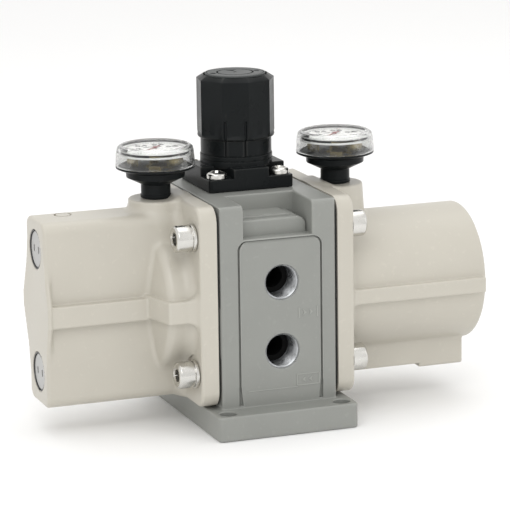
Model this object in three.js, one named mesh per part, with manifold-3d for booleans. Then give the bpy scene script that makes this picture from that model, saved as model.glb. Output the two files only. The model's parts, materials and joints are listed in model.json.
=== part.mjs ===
// A handle-operated pneumatic pressure booster: a grey central body with a foot plate, a light-coloured
// cylinder cover on each side, a pressure gauge on each cover and an adjusting knob on top.
// Units are millimetres. X runs along the cylinders, -Y is the side with the two ports, +Z is up.
// The origin is the middle of the foot plate's underside, below the cylinder axis.
import * as THREE from "three";
import { mergeVertices } from "three/addons/utils/BufferGeometryUtils.js";
import Module from "manifold-3d";

const wasm = await Module();
wasm.setup();

// ---- driving dimensions ----
const GAP = 0.3; // between pieces that touch
const AXIS_Z = 59.5; // height of the cylinder axis
const FOOT = { halfX: 35.3, halfY: 55.5, height: 12.1, cornerR: 2, holeX: 28.8, holeY: 49, holeR: 4.1 };
const BLOCK = { halfX: 29.3, halfY: 42.3, top: 110, cornerR: 1.2 };
const RECESS = { halfX: 17.3, floorZ: 93.7, stepY: -35.5, stepTop: 101.3, backY: -16.4 };
const PANEL = { x: 0.9, halfX: 20.8, top: 92.7, grooveHalf: 0.5, grooveDepth: 1.4 };
const PORT = {
  x: 1.7, upperZ: 71.6, lowerZ: 38, mouthR: 9, threadR: 8.2, depth: 14.5, chamfer: 1, wayR: 5.6, wayEnd: 14,
};
const BORE = { r: 29.5, partition: 8 };
const ROD = { r: 6, endR: 5, shoulderX: 24.2, endX: 42, clearance: 0.15 };
const BUSH = { outerR: 7.8, holeR: 8, sealR: 8.7, sealHoleR: 9, sealX: 4 };
const PISTON = {
  x: 30, r: 29.1, width: 11, sealHalf: 2, sealDepth: 2.8, webR: 14, rimR: 23, nutAcross: 16, nutHalf: 3.2,
};
const FLANGE = { innerX: 30.5, outerX: 39, halfY: 41.9, bottom: 13.2, top: 110, cornerR: 7.5 };
const BOLT = {
  y: 33, z: 33, centreZ: 62, headR: 6.4, headLength: 8, washerR: 6.8, washerT: 1.7, shankR: 4, holeR: 4.4,
  depth: 8, keyAcross: 6, keyDepth: 4, spotR: 8.3, rightSunk: 1.7,
};
const CYLINDER = {
  r: 34, leftEndX: 54, leftBoreX: 50, rightEndX: 112, rightBoreX: 105, endRound: 1.2,
  leftRibY: 37.4, leftRib: [-4.6, 5.8], rightRibY: 37.2, rightRib: [-4.2, 3], rightRibEndX: 110.6,
};
const SLAB = {
  halfY: 14.6, bottom: 13.7, top: 103.3, endX: 107, corner: 5, ribFront: -18.8, ribBack: 22, rib: [-4.8, 5.2],
  pocketHalfY: 11, pocketHalfZ: 17, pocketWall: 9,
  rightBottom: 14.6, rightEndX: 108, rightCorner: 2.5, undercutX: 85, undercut: 1.8,
};
const CHECK = {
  topZ: 88.9, lowZ: 29.1, plugR: 9.5, plugInset: 1.6, plugDepth: 12, hollowR: 6, spannerY: 3.6, spannerR: 1.2,
  boreR: 7, seatX: 64.5, wayR: 2.8, wayShift: 3.6, ringWidth: 1.1, ringT: 0.9, ringGap: 0.12,
  poppetR: 6.3, poppetT: 2.6, guideR: 2.6, guideLength: 14, coilR: 4.4, wireR: 0.55, springLength: 22,
};
const BOSS = { x: 46.2, r: 13.4, top: 109, threadR: 5.6, threadDepth: 12, wayR: 2.2 };
const GOVERNOR = {
  x: -0.4, y: 12.75, plateHalf: 21.5, boreR: 10, wayR: 2.4, springBoreR: 5, springBoreZ: 79,
  seatR: 6.5, seatZ: 90, chamberR: 13, chamberZ: 93,
};
const VALVE = {
  z: 82, sleeveR: 5.6, boreR: 3.1, spoolR: 2.9, spoolHalf: 5.2, neckR: 1.8, neckHalf: 1.2, tip: 8.5, tipR: 2.2,
};
const SILENCER = {
  dividerX: [56.5, 60], holeR: 2.5, holeZ: 18, elementX: [61, 103], innerR: 13, outerR: 24,
  outletX: 95, outletR: 5,
};
const BONNET = {
  bottom: BLOCK.top + GAP, plateTop: 116.3, plateRound: 2, blockHalf: 14.5, blockRound: 5, blockTop: 121,
  collarR: 17.6, collarTop: 125.6, neckR: 17.2, neckTop: 133.4, seatR: 17.4, seatDepth: 1.4,
};
const PAN_SCREW = {
  reach: 16, tip: 101, shankR: 2.3, headR: 4.8, headTopR: 3.4, headEdge: 1.6, headT: 3.2, holeR: 2.7, wellR: 5.6,
  tapR: 2.6, tapDepth: 10, crossLong: 2.4, crossWide: 0.5, crossDepth: 1.8,
};
const SLEEVE = {
  r: 12.5, bottom: 112, webBottom: 140, top: 144, holeR: 3.8, slotHalf: 2, slotReach: 11.5, slotBottom: 120,
};
const KNOB = {
  r: 19.1, bottom: 133.7, edge: 0.8, shoulder: 162.2, faceR: 15.6, top: 164, hollowR: 15.2, hollowTop: 147,
  socketAcross: 10.8, socketTop: 158.5,
};
const CAP = { r: 14.4, bottom: 162.9, top: 164.7, edge: 0.5, dimpleX: 12.2, dimpleR: 1.5, dimpleDepth: 0.8 };
const SPRING_NUT = { bottom: 128, top: 134, holeR: 3.6, slack: 0.4 };
const ADJUSTER = {
  tip: 117, threadR: 3.3, collarR: 6, collarZ: [137.6, 139.7], neckR: 3.5, neckTop: 144.5, hexAcross: 10,
  hexZ: [144.3, 157.6],
};
const SPRING = { r: 7.4, wireR: 1, z: [113.9, 127.6], turns: 3.5 };
const DIAPHRAGM = { innerR: 9.2, outerR: 17, t: 0.8, plateR: 8.8, plateLowR: 7, plateZ: [108.6, 110, 113.5] };
const PILOT = {
  seatInnerR: 2.6, seatOuterR: 6.2, seatZ: [90.3, 94], headR: 4.2, headZ: [86.8, 88.6], coneR: 3, stemR: 1.5,
  stemZ: [90, 108.3], springR: 3.2, springWireR: 0.5, springZ: [79.4, 86.5], springTurns: 3,
};
const GAUGE = {
  threadR: 4.8, threadZ: 98.5, stemR: 7.1, stemTop: 116.1, hubR: 14.2, hubLow: 119.3, hubTop: 122.1,
  rimLow: 123.7, rimZ: 125.1, lensR: 19.2, dialR: 16.4, dialZ: 132, dialT: 0.8, dialHoleR: 1.2, topZ: 134.9,
  topT: 0.9, shoulder: 0.7,
  needleLift: 1.1, needleT: 0.4, needleTail: 5, needleReach: 13, needleHubR: 2, shaftR: 0.6, movementR: 7,
  zeroTurn: (225 * Math.PI) / 180,
};
const ROUND = 28; // sides of a large circle

// ---- finishes ----
const finish = (color, roughness, metalness, extra = {}) =>
  new THREE.MeshStandardMaterial({ color, roughness, metalness, ...extra });
const FINISH = {
  beige: () => finish(0xcdc8bc, 0.45, 0.1),
  grey: () => finish(0x96989a, 0.5, 0.1),
  black: () => finish(0x2a2c2c, 0.5, 0),
  steel: () => finish(0xc4c6c8, 0.3, 1),
  aluminium: () => finish(0xb9bcc0, 0.35, 1),
  brass: () => finish(0xb8954e, 0.35, 1),
  rubber: () => finish(0x1c1c1c, 0.9, 0),
  white: () => finish(0xf2f2ee, 0.6, 0),
  red: () => finish(0xb83226, 0.5, 0),
  felt: () => finish(0xd8d4c4, 0.95, 0),
  clear: () => finish(0xf4f8f8, 0.05, 0, { transparent: true, opacity: 0.3 }),
};

// ---- solids ----
function solid(geometry) {
  const bare = geometry.index ? geometry.toNonIndexed() : geometry.clone();
  bare.deleteAttribute("normal");
  bare.deleteAttribute("uv");
  const merged = mergeVertices(bare, 1e-4);
  return new wasm.Manifold(
    new wasm.Mesh({
      numProp: 3,
      vertProperties: new Float32Array(merged.attributes.position.array),
      triVerts: new Uint32Array(merged.index.array),
    }),
  );
}

function join(...solids) {
  return solids.reduce((whole, next) => whole.add(next));
}

function cut(whole, ...tools) {
  return tools.reduce((rest, tool) => rest.subtract(tool), whole);
}

function geometryOf(manifold) {
  const mesh = manifold.getMesh();
  const geometry = new THREE.BufferGeometry();
  geometry.setAttribute("position", new THREE.BufferAttribute(new Float32Array(mesh.vertProperties), 3));
  geometry.setIndex(new THREE.BufferAttribute(new Uint32Array(mesh.triVerts), 1));
  geometry.computeVertexNormals();
  return geometry;
}

// Frames that lay a shape drawn in local X, Y along another direction.
const basis = (x, y, z) =>
  new THREE.Matrix4().makeBasis(new THREE.Vector3(...x), new THREE.Vector3(...y), new THREE.Vector3(...z));
const ALONG_X = basis([0, 1, 0], [0, 0, 1], [1, 0, 0]); // local X, Y become world Y, Z
const ALONG_FRONT = basis([1, 0, 0], [0, 0, 1], [0, -1, 0]); // local X, Y become world X, Z

const moved = (geometry, x, y, z) => geometry.translate(x, y, z);

function box(x0, x1, y0, y1, z0, z1) {
  const geometry = new THREE.BoxGeometry(x1 - x0, y1 - y0, z1 - z0);
  return solid(moved(geometry, (x0 + x1) / 2, (y0 + y1) / 2, (z0 + z1) / 2));
}

// A turned piece: [radius, height] pairs from the axis, bottom to top, back to the axis.
function turned(profile, sides = ROUND) {
  const points = profile.map(([r, h]) => new THREE.Vector2(r, h));
  return new THREE.LatheGeometry(points, sides).rotateX(Math.PI / 2);
}

// A turned ring: its closed section as [radius, height] pairs, counter-clockwise.
function ring(section, sides = ROUND) {
  return turned([...section, section[0]], sides);
}

function tube(inner, outer, bottom, top, sides = ROUND) {
  return ring([[inner, bottom], [outer, bottom], [outer, top], [inner, top]], sides);
}

function disc(radius, bottom, top, sides) {
  return turned([[0, bottom], [radius, bottom], [radius, top], [0, top]], sides);
}

// A rod or hole along X, Y (towards the front) or Z, given by its centre line and ends.
function rodX(radius, x0, x1, y, z, sides = ROUND) {
  return solid(moved(disc(radius, x0, x1, sides).applyMatrix4(ALONG_X), 0, y, z));
}

function rodZ(radius, z0, z1, x, y, sides = ROUND) {
  return solid(moved(disc(radius, z0, z1, sides), x, y, 0));
}

function rodFront(radius, depth0, depth1, x, z, sides = ROUND) {
  return solid(moved(disc(radius, depth0, depth1, sides).applyMatrix4(ALONG_FRONT), x, 0, z));
}

function extruded(shape, from, to, frame) {
  const options = { depth: to - from, bevelEnabled: false, curveSegments: 3 };
  const geometry = new THREE.ExtrudeGeometry(shape, options);
  geometry.translate(0, 0, from);
  return solid(frame ? geometry.applyMatrix4(frame) : geometry);
}

function roundedRectangle(x0, x1, y0, y1, r) {
  const shape = new THREE.Shape();
  shape.moveTo(x0 + r, y0);
  shape.lineTo(x1 - r, y0);
  shape.absarc(x1 - r, y0 + r, r, -Math.PI / 2, 0);
  shape.lineTo(x1, y1 - r);
  shape.absarc(x1 - r, y1 - r, r, 0, Math.PI / 2);
  shape.lineTo(x0 + r, y1);
  shape.absarc(x0 + r, y1 - r, r, Math.PI / 2, Math.PI);
  shape.lineTo(x0, y0 + r);
  shape.absarc(x0 + r, y0 + r, r, Math.PI, 1.5 * Math.PI);
  return shape;
}

function polygon(radius, sides, turn = 0) {
  const shape = new THREE.Shape();
  for (let i = 0; i < sides; i++) {
    const angle = turn + (2 * Math.PI * i) / sides;
    const [x, y] = [radius * Math.cos(angle), radius * Math.sin(angle)];
    if (i === 0) shape.moveTo(x, y);
    else shape.lineTo(x, y);
  }
  shape.closePath();
  return shape;
}

// Circumscribed radius of a hexagon from its size across the flats.
const hexRadius = (acrossFlats) => acrossFlats / Math.sqrt(3);

// A coil spring along Z, swept along a helix.
function coil(meanR, wireR, bottom, top, turns, stepsPerTurn = 10, wireSides = 6) {
  class Helix extends THREE.Curve {
    getPoint(t, target = new THREE.Vector3()) {
      const angle = 2 * Math.PI * turns * t;
      const height = bottom + wireR + (top - bottom - 2 * wireR) * t;
      return target.set(meanR * Math.cos(angle), meanR * Math.sin(angle), height);
    }
  }
  const section = polygon(wireR, wireSides);
  return new THREE.ExtrudeGeometry(section, {
    extrudePath: new Helix(),
    steps: Math.round(turns * stepsPerTurn),
    bevelEnabled: false,
  });
}

// ---- the assembly ----
const booster = new THREE.Group();

function part(name, shape, material, placed = {}) {
  const geometry = shape instanceof THREE.BufferGeometry ? shape : geometryOf(shape);
  const mesh = new THREE.Mesh(geometry, material());
  mesh.name = name;
  mesh.position.set(placed.x ?? 0, placed.y ?? 0, placed.z ?? 0);
  if (placed.turn) mesh.rotation.z = placed.turn;
  booster.add(mesh);
  return mesh;
}

// For each corner bolt of a cover: its Y and Z.
const boltPlaces = [-1, 1].flatMap((a) => [1, -1].map((b) => [a * BOLT.y, BOLT.centreZ + b * BOLT.z]));

// ---- central body ----
function bodyOutside() {
  const foot = extruded(
    roundedRectangle(-FOOT.halfX, FOOT.halfX, -FOOT.halfY, FOOT.halfY, FOOT.cornerR), 0, FOOT.height);
  const { halfX, halfY, top, cornerR } = BLOCK;
  const block = extruded(roundedRectangle(-halfX, halfX, -halfY, halfY, cornerR), FOOT.height / 2, top);
  // The recess under the bonnet, and the ledge in it that stands back from the port panel.
  const { floorZ, stepY, stepTop, backY } = RECESS;
  const width = RECESS.halfX;
  const frontCut = box(-width, width, -halfY - 1, stepY, floorZ, top + 1);
  const upperCut = box(-width, width, stepY - 1, backY, stepTop, top + 1);
  // Narrow grooves part the port panel from the side rails, on the front and the back.
  const { grooveHalf, grooveDepth } = PANEL;
  const grooves = [-1, 1].flatMap((side) => [-1, 1].map((face) => {
    const x = PANEL.x + side * PANEL.halfX;
    const y = face * halfY;
    return box(x - grooveHalf, x + grooveHalf, y - grooveDepth, y + grooveDepth, FOOT.height, PANEL.top);
  }));
  return cut(join(foot, block), frontCut, upperCut, ...grooves);
}

function portHole(z) {
  const face = BLOCK.halfY;
  const mouth = turned([
    [0, face - PORT.depth], [PORT.threadR - 0.4, face - PORT.depth], [PORT.threadR, face - PORT.chamfer],
    [PORT.mouthR, face], [PORT.mouthR, face + 1], [0, face + 1],
  ], 24);
  return solid(moved(mouth.applyMatrix4(ALONG_FRONT), PORT.x, 0, z));
}

function bodyInside() {
  const tools = [];
  for (const side of [-1, 1]) {
    const ends = [side * BORE.partition, side * (BLOCK.halfX + 1)].sort((a, b) => a - b);
    tools.push(rodX(BORE.r, ...ends, 0, AXIS_Z));
    for (const [y, z] of boltPlaces) {
      const hole = [side * (BLOCK.halfX - BOLT.depth), side * (BLOCK.halfX + 1)].sort((a, b) => a - b);
      tools.push(rodX(BOLT.holeR, ...hole, y, z, 12));
    }
    for (const face of [-1, 1]) {
      tools.push(rodZ(FOOT.holeR, -1, FOOT.height + 1, side * FOOT.holeX, face * FOOT.holeY, 16));
    }
  }
  // The rod bush's bore with the rod seal's counterbore, and the changeover valve's bore above it.
  const reach = BORE.partition + 1;
  tools.push(rodX(BUSH.holeR, -reach, reach, 0, AXIS_Z, 20));
  tools.push(rodX(BUSH.sealHoleR, BUSH.sealX, reach, 0, AXIS_Z, 20));
  tools.push(rodX(VALVE.sleeveR + 0.1, -reach, reach, 0, VALVE.z, 16));
  for (const z of [PORT.upperZ, PORT.lowerZ]) {
    tools.push(portHole(z), rodFront(PORT.wayR, PORT.wayEnd, BLOCK.halfY - PORT.depth + 0.5, PORT.x, z, 16));
  }
  // Supply passage from the upper port to the governor valve, and the governor's stepped bore.
  const { x: gx, y: gy, wayR, springBoreR, springBoreZ, seatR, chamberR, chamberZ } = GOVERNOR;
  tools.push(rodFront(wayR, -gy, BLOCK.halfY - PORT.depth + 0.5, PORT.x, PORT.upperZ, 8));
  tools.push(rodZ(wayR, PORT.upperZ, springBoreZ + 1, gx + 0.8, gy, 8));
  tools.push(rodZ(springBoreR, springBoreZ, chamberZ + 1, gx, gy, 16));
  tools.push(rodZ(seatR, GOVERNOR.seatZ, chamberZ + 1, gx, gy, 16));
  tools.push(rodZ(chamberR, chamberZ, BLOCK.top + 1, gx, gy, 24));
  for (const [x, y] of bonnetScrewPlaces()) {
    tools.push(rodZ(PAN_SCREW.tapR, BLOCK.top - PAN_SCREW.tapDepth, BLOCK.top + 1, x, y, 8));
  }
  return tools;
}

// ---- covers ----
// The flange plate, drawn in Y, Z and laid along X; side is -1 for the left cover and 1 for the right.
function flange(side) {
  const { innerX, outerX, halfY, bottom, top, cornerR } = FLANGE;
  const ends = [side * innerX, side * outerX].sort((a, b) => a - b);
  const plate = extruded(roundedRectangle(-halfY, halfY, bottom, top, cornerR), ...ends, ALONG_X);
  const holes = boltPlaces.map(([y, z]) => rodX(BOLT.holeR, ends[0] - 1, ends[1] + 1, y, z, 12));
  // The right flange is spot faced, so its screws sit deeper.
  const seatX = outerX - BOLT.rightSunk;
  const spots = boltPlaces.map(([y, z]) => rodX(BOLT.spotR, seatX, outerX + 1, y, z)).filter(() => side > 0);
  return cut(plate, ...holes, ...spots);
}

function gaugeBoss(side) {
  return rodZ(BOSS.r, AXIS_Z + CYLINDER.r / 2, BOSS.top, side * BOSS.x, 0, 28);
}

function gaugeHole(side) {
  const x = side * BOSS.x;
  const floor = BOSS.top - BOSS.threadDepth;
  return [rodZ(BOSS.threadR, floor, BOSS.top + 1, x, 0, 12), rodZ(BOSS.wayR, AXIS_Z, floor + 1, x, 0, 8)];
}

function leftCover() {
  const outX = -FLANGE.outerX;
  const endX = -SLAB.endX;
  const { r, leftEndX, leftBoreX, leftRibY, leftRib } = CYLINDER;
  const slabShape = roundedRectangle(-SLAB.halfY, SLAB.halfY, SLAB.bottom, SLAB.top, SLAB.corner);
  const slab = extruded(slabShape, endX, outX + 1, ALONG_X);
  const drum = rodX(r, -leftEndX, outX + 1, 0, AXIS_Z);
  const drumRib = box(-leftEndX, outX + 1, -leftRibY, leftRibY, AXIS_Z + leftRib[0], AXIS_Z + leftRib[1]);
  const slabRib = box(
    endX + 1.5, -leftEndX + 1, SLAB.ribFront, SLAB.ribBack, AXIS_Z + SLAB.rib[0], AXIS_Z + SLAB.rib[1]);
  const outside = join(flange(-1), drum, slab, drumRib, slabRib, gaugeBoss(-1));
  // The bore, and the long pocket behind it that clears the end of the rod.
  const bore = rodX(BORE.r, -leftBoreX, -FLANGE.innerX + 1, 0, AXIS_Z);
  const { pocketHalfY, pocketHalfZ, pocketWall } = SLAB;
  const pocket = box(
    endX + pocketWall, -leftBoreX + 1, -pocketHalfY, pocketHalfY, AXIS_Z - pocketHalfZ, AXIS_Z + pocketHalfZ);
  const checkBores = [CHECK.topZ, CHECK.lowZ].flatMap((z) => {
    const inward = z > AXIS_Z ? -1 : 1;
    return [
      rodX(CHECK.plugR, endX - 1, endX + CHECK.plugDepth, 0, z, 24),
      rodX(CHECK.boreR, endX, -CHECK.seatX, 0, z, 16),
      rodX(CHECK.wayR, -CHECK.seatX - 1, -leftBoreX + 1, 0, z + inward * CHECK.wayShift, 8),
    ];
  });
  return cut(outside, bore, pocket, ...checkBores, ...gaugeHole(-1));
}

function rightCover() {
  const outX = FLANGE.outerX;
  const { r, rightEndX, rightBoreX, rightRibY, rightRib, rightRibEndX, endRound } = CYLINDER;
  const drumProfile = [[0, outX - 1], [r, outX - 1], [r, rightEndX - endRound],
    [r - 0.3 * endRound, rightEndX - 0.3 * endRound], [r - endRound, rightEndX], [0, rightEndX]];
  const drum = solid(moved(turned(drumProfile).applyMatrix4(ALONG_X), 0, 0, AXIS_Z));
  const rib = box(outX - 1, rightRibEndX, -rightRibY, rightRibY, AXIS_Z + rightRib[0], AXIS_Z + rightRib[1]);
  const { halfY, rightBottom, rightCorner, undercutX, undercut } = SLAB;
  const footShape = roundedRectangle(-halfY, halfY, rightBottom, AXIS_Z - 10, rightCorner);
  const foot = extruded(footShape, outX - 1, SLAB.rightEndX, ALONG_X);
  const hollow = box(outX + 6, undercutX, -halfY - 1, halfY + 1, rightBottom - 1, rightBottom + undercut);
  const outside = join(flange(1), drum, rib, cut(foot, hollow), gaugeBoss(1));
  const bore = rodX(BORE.r, FLANGE.innerX - 1, rightBoreX, 0, AXIS_Z);
  const outlet = rodZ(SILENCER.outletR, rightBottom - 1, AXIS_Z - 20, SILENCER.outletX, 0, 16);
  return cut(outside, bore, outlet, ...gaugeHole(1));
}

function gasket(side) {
  const { halfY, bottom, top, cornerR } = FLANGE;
  const [inner, outer] = [BLOCK.halfX + GAP, FLANGE.innerX - GAP];
  const ends = [side * inner, side * outer].sort((a, b) => a - b);
  const sheet = extruded(
    roundedRectangle(-halfY + 1, halfY - 1, bottom + 1, top - 1, cornerR), ...ends, ALONG_X);
  const holes = boltPlaces.map(([y, z]) => rodX(BOLT.holeR, ends[0] - 1, ends[1] + 1, y, z, 8));
  return cut(sheet, rodX(BORE.r + 0.5, ends[0] - 1, ends[1] + 1, 0, AXIS_Z, 24), ...holes);
}

// A socket head cap screw with its washer, along X: the head stands on the flange and the shank runs
// into the body.
function coverBolt() {
  const { headR, headLength, washerR, washerT, shankR, keyAcross, keyDepth } = BOLT;
  const start = -(FLANGE.outerX - BLOCK.halfX + BOLT.depth - 2);
  const under = GAP + washerT;
  const top = under + headLength;
  const screw = solid(turned([
    [0, start], [shankR, start], [shankR, GAP], [washerR, GAP], [washerR, under], [headR, under],
    [headR, top], [0, top],
  ], 12));
  return cut(screw, extruded(polygon(hexRadius(keyAcross), 6), top - keyDepth, top + 1));
}

function addCovers() {
  part("body", cut(bodyOutside(), ...bodyInside()), FINISH.grey);
  part("cover_left", leftCover(), FINISH.beige);
  part("cover_right", rightCover(), FINISH.beige);
  part("gasket_left", gasket(-1), FINISH.rubber);
  part("gasket_right", gasket(1), FINISH.rubber);
  for (const [side, label] of [[-1, "left"], [1, "right"]]) {
    boltPlaces.forEach(([y, z], i) => {
      const bolt = geometryOf(coverBolt());
      if (side < 0) bolt.rotateY(-Math.PI / 2);
      else bolt.rotateY(Math.PI / 2);
      const x = side > 0 ? FLANGE.outerX - BOLT.rightSunk : -FLANGE.outerX;
      part(`cover_bolt_${label}_${i + 1}`, bolt, FINISH.steel, { x, y, z });
    });
  }
}

// ---- check valves in the left cover ----
// An open snap ring, drawn in X, Y.
function snapRing() {
  const outer = CHECK.plugR - GAP;
  const shape = new THREE.Shape();
  shape.absarc(0, 0, outer, CHECK.ringGap, 2 * Math.PI - CHECK.ringGap, false);
  shape.absarc(0, 0, outer - CHECK.ringWidth, 2 * Math.PI - CHECK.ringGap, CHECK.ringGap, true);
  shape.closePath();
  return new THREE.ExtrudeGeometry(shape, { depth: CHECK.ringT, bevelEnabled: false, curveSegments: 12 });
}

function addCheckValves() {
  const endX = -SLAB.endX;
  const plugFace = endX + CHECK.plugInset;
  const { spannerR, spannerY, poppetR, poppetT, guideR, guideLength, coilR, wireR, springLength } = CHECK;
  for (const [label, z, turn] of [["upper", CHECK.topZ, 0], ["lower", CHECK.lowZ, Math.PI]]) {
    const plug = cut(
      rodX(CHECK.plugR - GAP, plugFace, endX + CHECK.plugDepth - GAP, 0, 0, 24),
      rodX(CHECK.hollowR, endX + 8, endX + CHECK.plugDepth, 0, 0, 16),
      ...[-1, 1].map((side) => rodX(spannerR, plugFace - 1, plugFace + 3, side * spannerY, 0, 8)),
    );
    part(`plug_${label}`, plug, FINISH.aluminium, { z });
    const clip = snapRing().rotateZ(turn).applyMatrix4(ALONG_X);
    part(`plug_ring_${label}`, clip, FINISH.steel, { x: plugFace - CHECK.ringT - GAP, z });
    const seat = -CHECK.seatX - GAP;
    const poppet = join(
      rodX(poppetR, seat - poppetT, seat, 0, 0, 16), rodX(guideR, seat - guideLength, seat - 1, 0, 0, 12));
    part(`check_poppet_${label}`, poppet, FINISH.brass, { z });
    const spring = coil(coilR, wireR, 0, springLength, 4, 6, 4).applyMatrix4(ALONG_X);
    part(`check_spring_${label}`, spring, FINISH.steel, { x: seat - poppetT - GAP - springLength, z });
  }
}

// ---- pistons, rod and changeover valve ----
function piston(side) {
  const half = PISTON.width / 2;
  const { r, sealHalf, sealDepth, webR, rimR } = PISTON;
  const wheel = turned([
    [0, -half], [r, -half], [r, -sealHalf], [r - sealDepth, -sealHalf], [r - sealDepth, sealHalf],
    [r, sealHalf], [r, half], [0, half],
  ]);
  const web = tube(webR, rimR, side > 0 ? 0 : -half - 1, side > 0 ? half + 1 : 0, 16);
  return cut(solid(wheel), solid(web), rodZ(ROD.endR + 0.2, -half - 1, half + 1, 0, 0, 16));
}

function addPistons() {
  const rodProfile = [
    [0, -ROD.endX], [ROD.endR, -ROD.endX], [ROD.endR, -ROD.shoulderX], [ROD.r, -ROD.shoulderX],
    [ROD.r, ROD.shoulderX], [ROD.endR, ROD.shoulderX], [ROD.endR, ROD.endX], [0, ROD.endX],
  ];
  part("piston_rod", turned(rodProfile, 20).applyMatrix4(ALONG_X), FINISH.steel, { z: AXIS_Z });
  const { nutAcross, nutHalf, sealHalf, sealDepth } = PISTON;
  for (const [side, label] of [[-1, "left"], [1, "right"]]) {
    const place = { x: side * PISTON.x, z: AXIS_Z };
    part(`piston_${label}`, geometryOf(piston(side)).applyMatrix4(ALONG_X), FINISH.aluminium, place);
    const seal = tube(PISTON.r - sealDepth + GAP, PISTON.r + 0.2, GAP - sealHalf, sealHalf - GAP);
    part(`piston_seal_${label}`, seal.applyMatrix4(ALONG_X), FINISH.rubber, place);
    const nut = cut(
      extruded(polygon(hexRadius(nutAcross), 6), -nutHalf, nutHalf),
      rodZ(ROD.endR + 0.2, -nutHalf - 1, nutHalf + 1, 0, 0, 16),
    );
    const nutX = side * (PISTON.x + PISTON.width / 2 + GAP + nutHalf);
    part(`rod_nut_${label}`, geometryOf(nut).applyMatrix4(ALONG_X), FINISH.steel, { x: nutX, z: AXIS_Z });
  }
  const inside = ROD.r + ROD.clearance;
  const bush = tube(inside, BUSH.outerR, GAP - BORE.partition, BUSH.sealX - GAP, 20).applyMatrix4(ALONG_X);
  part("rod_bush", bush, FINISH.brass, { z: AXIS_Z });
  const seal = tube(inside, BUSH.sealR, BUSH.sealX, BORE.partition - GAP, 20).applyMatrix4(ALONG_X);
  part("rod_seal", seal, FINISH.rubber, { z: AXIS_Z });
}

function addChangeoverValve() {
  const sleeve = tube(VALVE.boreR, VALVE.sleeveR, GAP - BORE.partition, BORE.partition - GAP, 16);
  part("changeover_sleeve", sleeve.applyMatrix4(ALONG_X), FINISH.aluminium, { z: VALVE.z });
  // The spool's two thin ends stand in the bores, where a piston at the end of its stroke pushes them.
  const { spoolR, spoolHalf, neckR, neckHalf, tip, tipR } = VALVE;
  const spool = turned([
    [0, -tip], [tipR, -tip], [tipR, -spoolHalf], [spoolR, -spoolHalf], [spoolR, -neckHalf], [neckR, -neckHalf],
    [neckR, neckHalf], [spoolR, neckHalf], [spoolR, spoolHalf], [tipR, spoolHalf], [tipR, tip], [0, tip],
  ], 12);
  part("changeover_spool", spool.applyMatrix4(ALONG_X), FINISH.steel, { z: VALVE.z });
}

// The outer end of the right cover is a silencer chamber, closed from the cylinder by a divider.
function addSilencer() {
  const { dividerX, holeR, holeZ, elementX, innerR, outerR } = SILENCER;
  const hole = rodX(holeR, dividerX[0] - 1, dividerX[1] + 1, 0, holeZ, 8);
  const divider = cut(rodX(BORE.r - GAP, ...dividerX, 0, 0), hole);
  part("silencer_divider", divider, FINISH.aluminium, { z: AXIS_Z });
  const element = tube(innerR, outerR, ...elementX, 24).applyMatrix4(ALONG_X);
  part("silencer_element", element, FINISH.felt, { z: AXIS_Z });
}

// ---- governor: bonnet, knob and regulating valve ----
function bonnetScrewPlaces() {
  const { reach } = PAN_SCREW;
  return [-1, 1].flatMap((a) => [-1, 1].map((b) => [GOVERNOR.x + a * reach, GOVERNOR.y + b * reach]));
}

function bonnet() {
  const { bottom, plateTop, plateRound, blockHalf, blockRound, blockTop } = BONNET;
  const { collarR, collarTop, neckR, neckTop, seatR, seatDepth } = BONNET;
  const half = GOVERNOR.plateHalf;
  const plate = extruded(roundedRectangle(-half, half, -half, half, plateRound), bottom, plateTop);
  const blockShape = roundedRectangle(-blockHalf, blockHalf, -blockHalf, blockHalf, blockRound);
  const tower = solid(turned([
    [0, blockTop - 3], [collarR, blockTop - 0.5], [collarR, collarTop], [neckR, collarTop], [neckR, neckTop],
    [0, neckTop],
  ], 24));
  const { reach, holeR, wellR } = PAN_SCREW;
  const screwHoles = [-1, 1].flatMap((a) => [-1, 1].flatMap((b) => {
    const at = [a * reach, b * reach];
    return [rodZ(holeR, bottom - 1, plateTop + 1, ...at, 8), rodZ(wellR, plateTop, blockTop - 0.4, ...at, 16)];
  }));
  return cut(
    join(plate, extruded(blockShape, bottom, blockTop), tower),
    rodZ(seatR, bottom - 1, bottom + seatDepth, 0, 0, 24),
    rodZ(SLEEVE.r + GAP, bottom, neckTop + 1, 0, 0, 24),
    ...screwHoles,
  );
}

// The sleeve that guides the spring nut and carries the adjusting screw in its web.
function springSleeve() {
  const { r, bottom, webBottom, top, holeR, slotHalf, slotReach, slotBottom } = SLEEVE;
  return cut(
    rodZ(r, bottom, top, 0, 0, 24),
    rodZ(GOVERNOR.boreR, bottom - 1, webBottom, 0, 0, 24),
    rodZ(holeR, webBottom - 1, top + 1, 0, 0, 16),
    box(-slotHalf, slotHalf, -slotReach, slotReach, slotBottom, webBottom),
  );
}

// A pan head screw with a cross recess.
function bonnetScrew() {
  const { tip, shankR, headR, headTopR, headEdge, headT, crossLong, crossWide, crossDepth } = PAN_SCREW;
  const under = BONNET.plateTop + GAP;
  const top = under + headT;
  const screw = solid(turned([
    [0, tip], [shankR, tip], [shankR, under], [headR, under], [headR, under + headEdge], [headTopR, top],
    [0, top],
  ], 10));
  const slot = (a, b) => box(-a, a, -b, b, top - crossDepth, top + 1);
  return cut(screw, slot(crossLong, crossWide), slot(crossWide, crossLong));
}

function knob() {
  const { r, bottom, edge, shoulder, faceR, top, hollowR, hollowTop, socketAcross, socketTop } = KNOB;
  const outside = solid(turned([
    [0, bottom], [r - 0.3, bottom], [r, bottom + edge], [r, shoulder - 0.3], [r - 0.3, shoulder],
    [faceR, top], [0, top],
  ], 28));
  const hollow = rodZ(hollowR, bottom - 1, hollowTop, 0, 0, 28);
  const socket = extruded(polygon(hexRadius(socketAcross), 6), hollowTop - 1, socketTop);
  return cut(outside, hollow, socket, rodZ(CAP.r + 0.4, CAP.bottom - GAP, top + 1, 0, 0, 24));
}

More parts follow.
